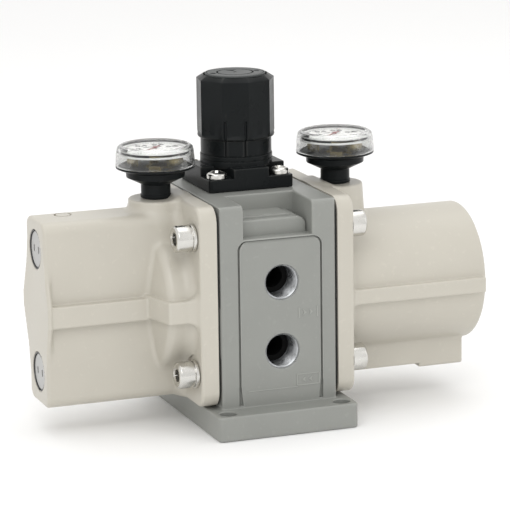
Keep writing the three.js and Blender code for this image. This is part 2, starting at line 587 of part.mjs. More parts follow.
function knobCap() {
  const { r, bottom, top, edge, dimpleX, dimpleR, dimpleDepth } = CAP;
  const plate = solid(turned([[0, bottom], [r, bottom], [r, top - edge], [r - edge, top], [0, top]], 24));
  const dimples = [-1, 1].map((side) => rodZ(dimpleR, top - dimpleDepth, top + 1, side * dimpleX, 0, 8));
  return cut(plate, ...dimples);
}

function springNut() {
  const { bottom, top, holeR, slack } = SPRING_NUT;
  const [keyHalf, keyReach] = [SLEEVE.slotHalf - GAP, SLEEVE.slotReach - slack];
  const ringPart = rodZ(GOVERNOR.boreR - slack, bottom, top, 0, 0, 24);
  const keys = box(-keyHalf, keyHalf, -keyReach, keyReach, bottom, top);
  return cut(join(ringPart, keys), rodZ(holeR, bottom - 1, top + 1, 0, 0, 16));
}

function adjustingScrew() {
  const { tip, threadR, collarR, collarZ, neckR, neckTop, hexAcross, hexZ } = ADJUSTER;
  const shaft = solid(turned([
    [0, tip], [threadR, tip + 1], [threadR, collarZ[0]], [collarR, collarZ[0]], [collarR, collarZ[1]],
    [neckR, collarZ[1]], [neckR, neckTop], [0, neckTop],
  ], 16));
  return join(shaft, extruded(polygon(hexRadius(hexAcross), 6), ...hexZ));
}

function diaphragmPlate() {
  const { plateR, plateLowR, plateZ: [low, wide, top] } = DIAPHRAGM;
  return turned([[0, low], [plateLowR, low], [plateR, wide], [plateR, top], [0, top]], 20);
}

function governorValve() {
  const { headR, headZ, coneR, stemR, stemZ } = PILOT;
  return turned([
    [0, headZ[0]], [headR, headZ[0]], [headR, headZ[1]], [coneR, stemZ[0]], [stemR, stemZ[0]],
    [stemR, stemZ[1]], [0, stemZ[1]],
  ], 12);
}

function addGovernor() {
  const at = { x: GOVERNOR.x, y: GOVERNOR.y };
  part("bonnet", bonnet(), FINISH.black, at);
  part("spring_sleeve", springSleeve(), FINISH.aluminium, at);
  bonnetScrewPlaces().forEach(([x, y], i) => {
    part(`bonnet_screw_${i + 1}`, bonnetScrew(), FINISH.steel, { x, y });
  });
  part("knob", knob(), FINISH.black, at);
  part("knob_cap", knobCap(), FINISH.black, at);
  part("adjusting_screw", adjustingScrew(), FINISH.steel, at);
  part("spring_nut", springNut(), FINISH.brass, at);
  part("governor_spring", coil(SPRING.r, SPRING.wireR, ...SPRING.z, SPRING.turns, 8, 5), FINISH.steel, at);
  const { innerR, outerR, t } = DIAPHRAGM;
  part("diaphragm", tube(innerR, outerR, BONNET.bottom, BONNET.bottom + t, 24), FINISH.rubber, at);
  part("diaphragm_plate", diaphragmPlate(), FINISH.aluminium, at);
  part("valve_seat", tube(PILOT.seatInnerR, PILOT.seatOuterR, ...PILOT.seatZ, 16), FINISH.brass, at);
  part("governor_valve", governorValve(), FINISH.brass, at);
  const valveSpring = coil(PILOT.springR, PILOT.springWireR, ...PILOT.springZ, PILOT.springTurns, 6, 4);
  part("governor_valve_spring", valveSpring, FINISH.steel, at);
}

// ---- pressure gauges ----
function gaugeCase() {
  const { threadR, threadZ, stemR, stemTop, hubR, hubLow, hubTop, rimLow, rimZ, lensR } = GAUGE;
  const [seat, rimR, top] = [BOSS.top + GAP, lensR - 0.5, rimZ - 0.6];
  return turned([
    [0, threadZ], [threadR, threadZ], [threadR, seat], [stemR, seat], [stemR, stemTop], [hubR, hubLow],
    [hubR, hubTop], [rimR, rimLow], [rimR, top], [0, top],
  ], 24);
}

function gaugeLens() {
  const { lensR, rimZ, topZ, topT, shoulder } = GAUGE;
  const low = rimZ - 0.2;
  const upR = lensR - shoulder;
  return turned([
    [0, topZ - topT], [upR - 2, topZ - topT], [upR - 1.2, topZ - topT - 1.2], [lensR - 1.3, low],
    [lensR, low], [upR, topZ - 1.4], [upR - 0.7, topZ - 0.3], [upR - 1.7, topZ], [0, topZ],
  ], 24);
}

function gaugeNeedle() {
  const { dialZ, needleLift, needleT, needleTail, needleReach, needleHubR, shaftR } = GAUGE;
  const shape = new THREE.Shape();
  shape.moveTo(-needleTail, -1);
  shape.lineTo(0, -1);
  shape.lineTo(needleReach, -0.3);
  shape.lineTo(needleReach, 0.3);
  shape.lineTo(0, 1);
  shape.lineTo(-needleTail, 1);
  shape.closePath();
  const low = dialZ + needleLift;
  const pointer = extruded(shape, low, low + needleT);
  return join(
    pointer, rodZ(needleHubR, low, low + 1.5 * needleT, 0, 0, 12), rodZ(shaftR, dialZ - 2, low + 0.1, 0, 0, 8));
}

function gaugeMovement() {
  const { dialZ, movementR, rimZ } = GAUGE;
  const block = rodZ(movementR, rimZ - GAP, dialZ - GAP, 0, 0, 16);
  return cut(block, rodZ(1, dialZ - 2.2, dialZ + 1, 0, 0, 8));
}

function addGauges() {
  const { dialR, dialHoleR, dialZ, dialT } = GAUGE;
  for (const [side, label] of [[-1, "left"], [1, "right"]]) {
    const at = { x: side * BOSS.x };
    part(`gauge_case_${label}`, gaugeCase(), FINISH.black, at);
    part(`gauge_movement_${label}`, gaugeMovement(), FINISH.brass, at);
    part(`gauge_dial_${label}`, tube(dialHoleR, dialR, dialZ, dialZ + dialT, 24), FINISH.white, at);
    // At rest each pointer stands at zero, on the front left of its dial.
    part(`gauge_needle_${label}`, gaugeNeedle(), FINISH.red, { ...at, turn: GAUGE.zeroTurn });
    part(`gauge_lens_${label}`, gaugeLens(), FINISH.clear, at);
  }
}

addCovers();
addCheckValves();
addPistons();
addChangeoverValve();
addSilencer();
addGovernor();
addGauges();

export default booster;
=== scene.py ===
# Looks of the pneumatic pressure booster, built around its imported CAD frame.
# Lengths here are millimetres in the frame of the part, and become metres in the meshes.
import json
import math

import bpy
import numpy as np
from mathutils import Matrix, Vector


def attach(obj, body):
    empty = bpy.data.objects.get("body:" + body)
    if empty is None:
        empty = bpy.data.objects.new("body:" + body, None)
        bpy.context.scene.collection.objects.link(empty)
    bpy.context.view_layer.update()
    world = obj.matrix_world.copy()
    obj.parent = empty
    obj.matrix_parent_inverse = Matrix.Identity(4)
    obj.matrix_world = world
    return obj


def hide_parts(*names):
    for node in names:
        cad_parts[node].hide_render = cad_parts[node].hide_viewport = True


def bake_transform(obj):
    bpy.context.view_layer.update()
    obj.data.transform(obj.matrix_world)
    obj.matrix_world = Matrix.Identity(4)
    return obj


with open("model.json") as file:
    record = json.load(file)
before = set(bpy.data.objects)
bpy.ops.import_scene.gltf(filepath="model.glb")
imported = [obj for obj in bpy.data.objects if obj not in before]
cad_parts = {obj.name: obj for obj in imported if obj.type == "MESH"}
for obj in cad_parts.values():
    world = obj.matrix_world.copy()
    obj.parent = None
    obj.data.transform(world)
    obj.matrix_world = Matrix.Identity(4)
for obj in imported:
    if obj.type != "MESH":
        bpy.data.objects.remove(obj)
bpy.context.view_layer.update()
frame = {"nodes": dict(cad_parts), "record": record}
MM = 0.001

# ---- main dimensions, the same as the solids ----
AXIS_Z, BORE_R = 59.5, 29.5  # the two cylinders
BODY_X, BODY_Y, BODY_TOP = 29.3, 42.3, 110.0  # half widths and top of the grey pillar
FOOT_X, FOOT_Y, FOOT_TOP = 35.3, 55.45, 12.1  # half widths and top of the foot plate
FOOT_HOLE_X, FOOT_HOLE_Y, FOOT_HOLE_R = 28.8, 49.0, 4.1
PANEL_LEFT, PANEL_RIGHT, PANEL_TOP = -19.4, 21.2, 92.6  # the port panel
PORT_X, PORT_Z = 1.7, (71.6, 38.0)
PORT_R, PORT_WAY_R = 8.45, 5.6
BOLT_Y, BOLT_Z, BOLT_HOLE_R = 33.0, (29.0, 95.0), 4.4
FLANGE_IN_X, FLANGE_X, FLANGE_LOW = 30.5, 39.0, 13.2
FLANGE_Y, FLANGE_TOP = 41.9, 110.0
RIGHT_SUNK = 1.7  # depth of the spot faces in the right flange
BOSS_X, BOSS_TOP, BOSS_R = 46.2, 108.9, 13.3
DRUM_R = 34.0
SLAB_END_X, SLAB_LOW, SLAB_TOP = 107.0, 13.7, 103.3
CHECK_Z, CHECK_R = (88.9, 29.1), 9.5
RIGHT_END_X, RIGHT_RIB_END_X = 112.0, 110.6
RIGHT_FOOT_END_X, RIGHT_FOOT_LOW = 108.0, 14.6
VALVE_Z = 82.0
GOVERNOR_X, GOVERNOR_Y = -0.4, 12.75
SCREW_REACH = 16.0  # from the governor's axis to each bonnet screw, in X and in Y
DIAL_TOP = 132.7


# ---- shapes as distance fields: negative inside, positive outside ----
def span(v, low, high):
    """Distance outside the slab between two planes."""
    return np.abs(v - (low + high) / 2) - (high - low) / 2


def both(a, b, r=0.0):
    """What two shapes share; their convex edge is rounded to r."""
    if r <= 0:
        return np.maximum(a, b)
    return np.minimum(np.maximum(a, b), -r) + np.hypot(np.maximum(a + r, 0), np.maximum(b + r, 0))


def either(a, b, r=0.0):
    """Two shapes together; their concave edge is filled to r."""
    if r <= 0:
        return np.minimum(a, b)
    return np.maximum(np.minimum(a, b), r) - np.hypot(np.maximum(r - a, 0), np.maximum(r - b, 0))


def less(a, b, r=0.0):
    """The first shape with the second cut out of it."""
    return both(a, -b, r)


def disc(u, v, r):
    """A circle in two directions."""
    return np.hypot(u, v) - r


def plate(u, v, u0, u1, v0, v1, r):
    """A rounded rectangle in two directions."""
    return both(span(u, u0, u1), span(v, v0, v1), r)


def block(x, y, z, xs, ys, zs, r=0.0):
    """A box between two planes in each direction."""
    return both(both(span(x, *xs), span(y, *ys), r), span(z, *zs), r)


def wedge(u, v, points):
    """A convex polygon in two directions, its corners counter-clockwise."""
    sides = []
    for (u0, v0), (u1, v1) in zip(points, points[1:] + points[:1]):
        length = math.hypot(u1 - u0, v1 - v0)
        sides.append(((u - u0) * (v1 - v0) - (v - v0) * (u1 - u0)) / length)
    field = sides[0]
    for side in sides[1:]:
        field = np.maximum(field, side)
    return field


# ---- from a field to a mesh, with its sharp edges kept ----
def lines(low, high, step, fine=()):
    """Grid lines, closer together inside the spans listed in fine as (from, to, step)."""
    places = [low]
    while places[-1] < high:
        here, move = places[-1], step
        for start, end, small in fine:
            if start <= here < end:
                move = min(move, small)
            elif here < start < here + move:
                move = max(start - here, small)
        places.append(here + move)
    return np.array(places)


REFINE_STEPS = 5
SLOPE_STEP = 0.01  # to each side of a point, for its normal
FLAT_SHARE = 0.08  # a weaker direction than this share of the strongest doesn't make an edge


def crossings(field, grid, values, axis):
    """The grid edges along one axis that the surface crosses: their index, whether they start inside,
    and the points and normals where it crosses them."""
    near, far = [slice(None)] * 3, [slice(None)] * 3
    near[axis], far[axis] = slice(0, -1), slice(1, None)
    near, far = tuple(near), tuple(far)
    index = np.argwhere((values[near] < 0) != (values[far] < 0))
    keep = np.ones(len(index), bool)
    for other in ((axis + 1) % 3, (axis + 2) % 3):
        keep &= (index[:, other] > 0) & (index[:, other] < len(grid[other]) - 1)
    index = index[keep]
    here = tuple(index.T)
    start = np.stack([grid[k][index[:, k]] for k in range(3)], 1)
    width = grid[axis][index[:, axis] + 1] - grid[axis][index[:, axis]]
    low, high = np.zeros(len(index)), np.ones(len(index))
    f_low, f_high = values[near][here].astype(float), values[far][here].astype(float)
    starts_inside = f_low < 0
    point = start.copy()
    for _ in range(REFINE_STEPS):
        t = low + (high - low) * np.clip(f_low / (f_low - f_high), 0.08, 0.92)
        point[:, axis] = start[:, axis] + width * t
        f = field(*point.T)
        same = (f < 0) == starts_inside
        low, f_low = np.where(same, t, low), np.where(same, f, f_low)
        high, f_high = np.where(same, high, t), np.where(same, f_high, f)
    t = low + (high - low) * f_low / np.where(f_low == f_high, 1, f_low - f_high)
    point[:, axis] = start[:, axis] + width * t
    normal = np.empty_like(point)
    for k in range(3):
        step = np.zeros(3)
        step[k] = SLOPE_STEP
        normal[:, k] = field(*(point + step).T) - field(*(point - step).T)
    normal /= np.maximum(np.linalg.norm(normal, axis=1, keepdims=True), 1e-9)
    return index, starts_inside, point, normal


def cells_round(index, starts_inside, axis, cells):
    """The four grid cells round each crossed edge, in the order that turns the face outwards."""
    b, c = (axis + 1) % 3, (axis + 2) % 3
    corners = []
    for db, dc in ((0, 0), (-1, 0), (-1, -1), (0, -1)):
        cell = index.copy()
        cell[:, b] += db
        cell[:, c] += dc
        corners.append((cell[:, 0] * cells[1] + cell[:, 1]) * cells[2] + cell[:, 2])
    corners = np.stack(corners, 1)
    corners[~starts_inside] = corners[~starts_inside][:, ::-1]
    return corners


def edge_vertices(points, normals, where):
    """One vertex for each cell, where the planes of its crossings meet best."""
    count = np.bincount(where)
    middle = np.stack([np.bincount(where, points[:, k]) / count for k in range(3)], 1)
    offset = np.einsum("ij,ij->i", normals, points - middle[where])
    matrix = np.empty((len(count), 3, 3))
    for i in range(3):
        for j in range(3):
            matrix[:, i, j] = np.bincount(where, normals[:, i] * normals[:, j])
    vector = np.stack([np.bincount(where, normals[:, k] * offset) for k in range(3)], 1)
    strength, direction = np.linalg.eigh(matrix)
    used = strength > FLAT_SHARE * strength[:, 2:3]
    inverse = np.where(used, 1 / np.where(used, strength, 1), 0)
    along = np.einsum("nij,ni->nj", direction, vector) * inverse
    return middle + np.einsum("nij,nj->ni", direction, along)


def contour(name, field, xs, ys, zs, sharp=32.0):
    """Dual contouring of a field on a grid of lines in X, Y and Z."""
    grid = (xs, ys, zs)
    values = field(*np.ix_(*(line.astype(np.float32) for line in grid)))
    values = np.broadcast_to(values, (len(xs), len(ys), len(zs)))
    cells = (len(xs) - 1, len(ys) - 1, len(zs) - 1)
    quads, points, normals = [], [], []
    for axis in range(3):
        index, starts_inside, point, normal = crossings(field, grid, values, axis)
        quads.append(cells_round(index, starts_inside, axis, cells))
        points.append(np.repeat(point, 4, 0))
        normals.append(np.repeat(normal, 4, 0))
    cell_ids, where = np.unique(np.concatenate(quads).ravel(), return_inverse=True)
    vertices = edge_vertices(np.concatenate(points), np.concatenate(normals), where)
    cell = np.stack(np.unravel_index(cell_ids, cells), 1)
    for k in range(3):
        vertices[:, k] = np.clip(vertices[:, k], grid[k][cell[:, k]], grid[k][cell[:, k] + 1])
    return mesh_of(name, vertices, where.reshape(-1, 4), sharp)


def smoothed(mesh, sharp=35.0):
    """Smooth shading, apart from edges sharper than that many degrees."""
    mesh.shade_smooth()
    mesh.set_sharp_from_angle(angle=math.radians(sharp))
    return mesh


def mesh_of(name, vertices, faces, sharp):
    """A mesh in metres from millimetre points and faces that all have as many corners."""
    faces = np.asarray(faces)
    mesh = bpy.data.meshes.new(name)
    mesh.vertices.add(len(vertices))
    mesh.vertices.foreach_set("co", (np.asarray(vertices) * MM).astype(np.float32).ravel())
    mesh.loops.add(faces.size)
    mesh.loops.foreach_set("vertex_index", faces.astype(np.int32).ravel())
    mesh.polygons.add(len(faces))
    mesh.polygons.foreach_set("loop_start", np.arange(0, faces.size, faces.shape[1], dtype=np.int32))
    mesh.update(calc_edges=True)
    mesh.validate()
    return smoothed(mesh, sharp)


def softened(profile, steps=4):
    """A profile whose corners, where they have a third number, are rounded to that radius."""
    out = []
    for i, corner in enumerate(profile):
        radius = corner[2] if len(corner) > 2 else 0
        if not radius or i in (0, len(profile) - 1):
            out.append(tuple(corner[:2]))
            continue
        tip = np.array(corner[:2], float)
        before, after = (np.array(profile[j][:2], float) - tip for j in (i - 1, i + 1))
        reach = [np.linalg.norm(before), np.linalg.norm(after)]
        before, after = before / reach[0], after / reach[1]
        half = math.acos(max(-1.0, min(1.0, float(before @ after)))) / 2
        cut = min(radius / max(math.tan(half), 1e-3), 0.49 * reach[0], 0.49 * reach[1])
        for step in range(steps + 1):
            t = step / steps
            out.append(tuple(tip + before * cut * (1 - t) ** 2 + after * cut * t ** 2))
    return out


ON_AXIS = 1e-6  # a smaller radius is a point on the axis


def turned(name, profile, sides=96, shape=None, sharp=35.0):
    """A turned mesh about Z. Its profile is [radius, height(, corner radius)] from axis to axis, or a
    closed ring when it doesn't start on the axis. shape(angle, radius, height) gives a new radius."""
    rings = softened(profile)
    closed = rings[0][0] > ON_AXIS
    angles = np.arange(sides) * 2 * math.pi / sides
    vertices, starts = [], []
    for r, h in rings:
        starts.append(len(vertices))
        if r <= ON_AXIS:
            vertices.append((0.0, 0.0, h))
            continue
        radii = np.full(sides, r) if shape is None else shape(angles, r, h)
        vertices += list(zip(radii * np.cos(angles), radii * np.sin(angles), np.full(sides, h)))
    pairs = list(zip(range(len(rings) - 1), range(1, len(rings))))
    if closed:
        pairs.append((len(rings) - 1, 0))
    triangles = []
    turn = np.arange(sides)
    following = (turn + 1) % sides
    for low, high in pairs:
        a, b = starts[low], starts[high]
        a_axis, b_axis = rings[low][0] <= ON_AXIS, rings[high][0] <= ON_AXIS
        if a_axis and b_axis:
            continue
        if a_axis:
            triangles += list(zip(np.full(sides, a), b + following, b + turn))
        elif b_axis:
            triangles += list(zip(a + turn, a + following, np.full(sides, b)))
        else:
            triangles += list(zip(a + turn, a + following, b + following))
            triangles += list(zip(a + turn, b + following, b + turn))
    return mesh_of(name, vertices, triangles, sharp)


def merged(name, meshes):
    """One mesh from several, each given as (mesh, matrix)."""
    vertices, faces = [], []
    for mesh, matrix in meshes:
        base = len(vertices)
        vertices += [matrix @ v.co for v in mesh.vertices]
        faces += [[base + i for i in p.vertices] for p in mesh.polygons]
    whole = bpy.data.meshes.new(name)
    whole.from_pydata(vertices, [], faces)
    return smoothed(whole)


def outline_prism(name, outline, low, high, bevel=0.0):
    """A flat prism in X and Y from a counter-clockwise outline; its top edge is bevelled."""
    outline = np.array(outline, float)
    n = len(outline)
    before, after = np.roll(outline, 1, 0), np.roll(outline, -1, 0)
    tangent = after - before
    inward = np.stack([-tangent[:, 1], tangent[:, 0]], 1)
    inward /= np.linalg.norm(inward, axis=1, keepdims=True)
    rings = [(outline, low), (outline, high - bevel)]
    if bevel:
        rings.append((outline + inward * bevel, high))
    vertices = [(x, y, z) for ring, z in rings for x, y in ring]
    faces = []
    for k in range(len(rings) - 1):
        for i in range(n):
            j = (i + 1) % n
            faces.append([k * n + i, k * n + j, (k + 1) * n + j, (k + 1) * n + i])
    faces.append(list(range(n))[::-1])
    faces.append([(len(rings) - 1) * n + i for i in range(n)])
    mesh = bpy.data.meshes.new(name)
    mesh.from_pydata([Vector(v) * MM for v in vertices], [], faces)
    return smoothed(mesh, 30.0)


def show(obj):
    """Puts an object in the scene."""
    bpy.context.scene.collection.objects.link(obj)


def bar(x0, x1, y0, y1, low, high, bevel=0.0):
    return outline_prism("bar", [(x0, y0), (x1, y0), (x1, y1), (x0, y1)], low, high, bevel)


def tube_arc(name, radius, start, end, half_width, half_height, z, steps=28, rise=0.0):
    """A tube bent in an arc about Z, in degrees. It may climb by rise, as a spring does."""
    vertices, faces, sides = [], [], 10
    for i in range(steps + 1):
        angle = math.radians(start + (end - start) * i / steps)
        for k in range(sides):
            turn = 2 * math.pi * k / sides
            r = radius + half_width * math.cos(turn)
            height = z + rise * i / steps + half_height * math.sin(turn)
            vertices.append((r * math.cos(angle), r * math.sin(angle), height))
    for i in range(steps):
        for k in range(sides):
            j = (k + 1) % sides
            faces.append([(i + 1) * sides + k, (i + 1) * sides + j, i * sides + j, i * sides + k])
    faces.append(list(range(sides))[::-1])
    faces.append([steps * sides + k for k in range(sides)])
    mesh = bpy.data.meshes.new(name)
    mesh.from_pydata([Vector(v) * MM for v in vertices], [], faces)
    mesh.shade_smooth()
    return mesh


# Frames that lay a shape drawn about Z along X, or towards the front.
ALONG_X = Matrix(((0, 0, 1, 0), (1, 0, 0, 0), (0, 1, 0, 0), (0, 0, 0, 1)))
ALONG_MINUS_X = Matrix.Rotation(math.pi, 4, "Z") @ ALONG_X
ALONG_FRONT = Matrix(((1, 0, 0, 0), (0, 0, -1, 0), (0, 1, 0, 0), (0, 0, 0, 1)))


def at(x, y, z):
    """The frame that lays a shape at a point."""
    return Matrix.Translation(Vector((x, y, z)) * MM)


GOVERNOR_AXIS = at(GOVERNOR_X, GOVERNOR_Y, 0)


# ---- materials: noise scales, patch and grain are in waves a metre, depths in metres ----
def link(tree, out, into):
    tree.links.new(out, into)


def preset(node, values):
    """Sets a node's inputs by name."""
    for name, value in values.items():
        node.inputs[name].default_value = value
    return node


def noise(tree, coord, scale, detail=3.0, rough=0.5):
    made = tree.nodes.new("ShaderNodeTexNoise")
    preset(made, {"Scale": scale, "Detail": detail, "Roughness": rough})
    link(tree, coord, made.inputs["Vector"])
    return made.outputs["Fac"]


def mapped(tree, value, low, high, to_low, to_high):
    """A value between low and high, brought to between to_low and to_high."""
    made = tree.nodes.new("ShaderNodeMapRange")
    preset(made, {"From Min": low, "From Max": high, "To Min": to_low, "To Max": to_high})
    link(tree, value, made.inputs["Value"])
    return made.outputs["Result"]


def blended(tree, factor, a, b):
    """A colour mix; a and b are colours or outputs."""
    made = tree.nodes.new("ShaderNodeMix")
    made.data_type = "RGBA"
    link(tree, factor, made.inputs["Factor"])
    for value, socket in ((a, made.inputs["A"]), (b, made.inputs["B"])):
        if isinstance(value, bpy.types.NodeSocket):
            link(tree, value, socket)
        else:
            socket.default_value = (*value, 1)
    return made.outputs["Result"]


def scaled(colour, by):
    return tuple(min(1.0, c * by) for c in colour)


def bump(tree, shader, height, depth):
    """Raises the surface by up to depth where height is large."""
    made = preset(tree.nodes.new("ShaderNodeBump"), {"Strength": 1.0, "Distance": depth})
    link(tree, height, made.inputs["Height"])
    link(tree, made.outputs["Normal"], shader.inputs["Normal"])


def blank(name, values):
    """A new material with these shader values, as (material, tree, shader, place on the object)."""
    material = bpy.data.materials.new(name)
    material.use_nodes = True
    tree = material.node_tree
    shader = preset(tree.nodes["Principled BSDF"], values)
    return material, tree, shader, tree.nodes.new("ShaderNodeTexCoord").outputs["Object"]


def surface(name, colour, rough, metal=0.0, vary=0.06, patch=40.0, grain=900.0, depth=2e-5,
            rough_vary=0.06, speck=0.0, edge_wear_and_highlight=None, stretch=(1, 1, 1), coat=0.0, specular=0.5):
    """A procedural finish: patchy colour and gloss, a fine grain in the bump, dust specks, and lighter sharp
    edges
    from a given colour and strength: worn paint on the enamels, a painted highlight along the black
    moulding's crests."""
    material, tree, shader, where = blank(name, {"Metallic": metal, "Specular IOR Level": specular})
    if coat:
        preset(shader, {"Coat Weight": coat, "Coat Roughness": 0.25})
    if stretch != (1, 1, 1):
        mapping = preset(tree.nodes.new("ShaderNodeMapping"), {"Scale": stretch})
        link(tree, where, mapping.inputs["Vector"])
        where = mapping.outputs["Vector"]
    broad = noise(tree, where, patch, 4.0, 0.6)
    mix = mapped(tree, broad, 0.3, 0.7, 0, 1)
    shade = blended(tree, mix, scaled(colour, 1 - vary), scaled(colour, 1 + vary))
    if speck:
        dots = mapped(tree, noise(tree, where, grain * 0.6, 1.0, 0.4), 0.66, 0.74, 0, speck)
        shade = blended(tree, dots, shade, scaled(colour, 1.5))
    # Sharp edges made lighter: worn paint on the enamels, a painted highlight on the crests of the black
    # moulding.
    if edge_wear_and_highlight:
        edge = tree.nodes.new("ShaderNodeNewGeometry").outputs["Pointiness"]
        shade = blended(tree, mapped(tree, edge, 0.52, 0.60, 0, edge_wear_and_highlight[1]), shade, edge_wear_and_highlight[0])
    link(tree, shade, shader.inputs["Base Color"])
    gloss = mapped(tree, broad, 0.3, 0.7, rough - rough_vary, rough + rough_vary)
    link(tree, gloss, shader.inputs["Roughness"])
    bump(tree, shader, noise(tree, where, grain, 2.0, 0.5), depth)
    return material


def clear(name, alpha):
    """Clear moulded acrylic with faint smears."""
    material, tree, shader, where = blank(name, {
        "Transmission Weight": 1.0, "IOR": 1.45, "Alpha": alpha, "Specular IOR Level": 0.15})
    smears = noise(tree, where, 60.0, 3.0)
    link(tree, mapped(tree, smears, 0.35, 0.7, 0.01, 0.05), shader.inputs["Roughness"])
    link(tree, blended(tree, smears, (1.0, 1.0, 1.0), (0.96, 0.975, 0.97)), shader.inputs["Base Color"])
    bump(tree, shader, noise(tree, where, 300.0), 4e-6)
    return material


BEIGE = (0.506, 0.480, 0.418)
GREY = (0.258, 0.264, 0.246)
BLACK = (0.0085, 0.0100, 0.0105)
STEEL = (0.66, 0.65, 0.62)

MATERIALS = {
    "beige_paint": surface("beige_enamel", BEIGE, 0.40, vary=0.02, grain=650.0, depth=3e-5, speck=0.08,
                           edge_wear_and_highlight=(scaled(BEIGE, 1.22), 0.35), coat=0.15),
    "grey_paint": surface("grey_enamel", GREY, 0.42, vary=0.035, grain=650.0, depth=3e-5, speck=0.10,
                          edge_wear_and_highlight=(scaled(GREY, 1.5), 0.45), coat=0.12),
    # The lighter sharp edges of the black moulding are a painted highlight along its flute crests and edges.
    "black_plastic": surface("black_moulding", BLACK, 0.28, vary=0.12, grain=2600.0, depth=8e-6,
                             speck=0.05, specular=0.1, edge_wear_and_highlight=((0.045, 0.045, 0.043), 0.8)),
    "plated_steel": surface("bright_zinc", STEEL, 0.24, 1.0, vary=0.07, patch=120.0, grain=1800.0,
                            depth=6e-6, rough_vary=0.08),
    "aluminium": surface("machined_aluminium", (0.66, 0.67, 0.68), 0.30, 1.0, vary=0.05, grain=1500.0,
                         depth=6e-6, stretch=(1, 1, 6)),
    "brass": surface("machined_brass", (0.60, 0.43, 0.16), 0.30, 1.0, vary=0.08, grain=1500.0, depth=6e-6),
    "rubber": surface("black_rubber", (0.016, 0.016, 0.016), 0.75, vary=0.15, grain=1200.0),
    "dial_white": surface("dial_enamel", (0.88, 0.88, 0.86), 0.45, vary=0.015, grain=1400.0, depth=2e-6),
    "needle_red": surface("red_lacquer", (0.20, 0.015, 0.012), 0.4, grain=1500.0, depth=3e-6),
    "clear_plastic": clear("clear_acrylic", 0.8),
    "felt": surface("pressed_felt", (0.66, 0.62, 0.50), 0.95, vary=0.12, grain=500.0, depth=3e-4),
}
# Finishes of single pieces whose slot has another look.
THREAD = surface("machined_port", (0.40, 0.41, 0.42), 0.30, 1.0, vary=0.28, patch=420.0, grain=1200.0,
                 depth=8e-6)
PRINT = surface("dial_print", (0.01, 0.01, 0.012), 0.5, vary=0.10, grain=1500.0, depth=2e-6)
CAP_FACE = surface("cap_face", (0.075, 0.08, 0.08), 0.42, grain=2200.0, depth=1e-5, specular=0.12)
# Dark grey: painted shade for the shaded floor of the gauge beneath the dial.
BACK_PLATE_PAINTED_SHADE = surface("gauge_back_painted_shade", (0.10, 0.105, 0.10), 0.5, vary=0.05, depth=4e-6)
# Brass toned down to a dark olive, for the gauge's train and tube.
OLIVE_BRASS = surface("dark_olive_brass", (0.24, 0.20, 0.10), 0.36, 1.0, vary=0.10, grain=1500.0,
                      depth=6e-6)
CLEAR_WINDOW = clear("clear_window", 0.12)
# Near black: painted shade for the dark depth inside the ports.
WAY_PAINTED_SHADE = surface("port_way_painted_shade", (0.012, 0.012, 0.012), 0.7, vary=0.15, specular=0.15)
DARK_STEEL = surface("blackened_steel", (0.10, 0.10, 0.10), 0.42, 1.0, vary=0.15, grain=1500.0, depth=1e-5)
MATT_ALUMINIUM = surface("matt_aluminium", (0.50, 0.50, 0.49), 0.5, 0.6, vary=0.04, depth=1e-5)


# ---- pieces ----
def piece(name, mesh, slot, body="housing", matrix=None, replaces=(), material=None, bend=None):
    """A shown piece: its mesh, its place, the body it rides on, its slot and the nodes it stands for.
    With bend given it rides on no body: its place is baked into its mesh, and the two heights in bend are not
    used."""
    made = bpy.data.objects.new(name, mesh)
    show(made)
    if matrix is not None:
        made.matrix_world = matrix
    if not mesh.materials:
        mesh.materials.append(material or MATERIALS[slot])
    if bend:
        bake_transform(made)
    else:
        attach(made, body)
    if replaces:
        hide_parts(*replaces)


# ---- grey body ----
def recess_field(x, y, z):
    """The recess under the bonnet, open to the front, with a ledge that stands back from the panel."""
    opening = block(x, y, z, (-17.3, 17.3), (-60, -16.4), (93.7, 120))
    ledge = both(plate(x, z, -40, 16.9, 80, 101.3, 4.5), span(y, -35.5, -10), 0.9)
    sill = both(span(y, -31.5, -10), both(z - 102.4, x - 11.5, 2.5), 0.5)
    return less(less(opening, ledge), sill)


def cut_panel(whole, x, y, z):
    """Marks the port panel out with a groove, wider at the foot, and bevels its top edge."""
    panel = plate(x, z, PANEL_LEFT, PANEL_RIGHT, -20, PANEL_TOP, 4.4)
    groove = less(plate(x, z, PANEL_LEFT - 1.1, PANEL_RIGHT + 1.0, -20, PANEL_TOP + 0.4, 4.7), panel)
    whole = less(whole, both(both(groove, y + 40.6), 13.2 - z), 0.25)
    slope, bevel_low = 1.7, 91.1
    bevel = ((y + BODY_Y) * slope - (z - bevel_low)) / math.hypot(slope, 1)
    whole = less(whole, both(both(bevel, panel), 90 - z))
    # Narrow rebates widen the joints with the flanges, above and below the cylinder bore.
    joint = both(both(29.0 - np.abs(x), y + 38), np.minimum(span(z, 62, 109.2), span(z, 13.4, 37)))
    whole = less(whole, joint)
    flare_top = 22
    flare = np.clip(0.10 * (flare_top - z), 0, 0.9)
    left, right = span(x, -20.7, PANEL_LEFT + flare), span(x, 21.0 - flare, 22.3)
    foot_cut = both(np.minimum(left, right), span(z, 13.2, flare_top))
    return less(whole, both(foot_cut, y + 40.9), 0.25)


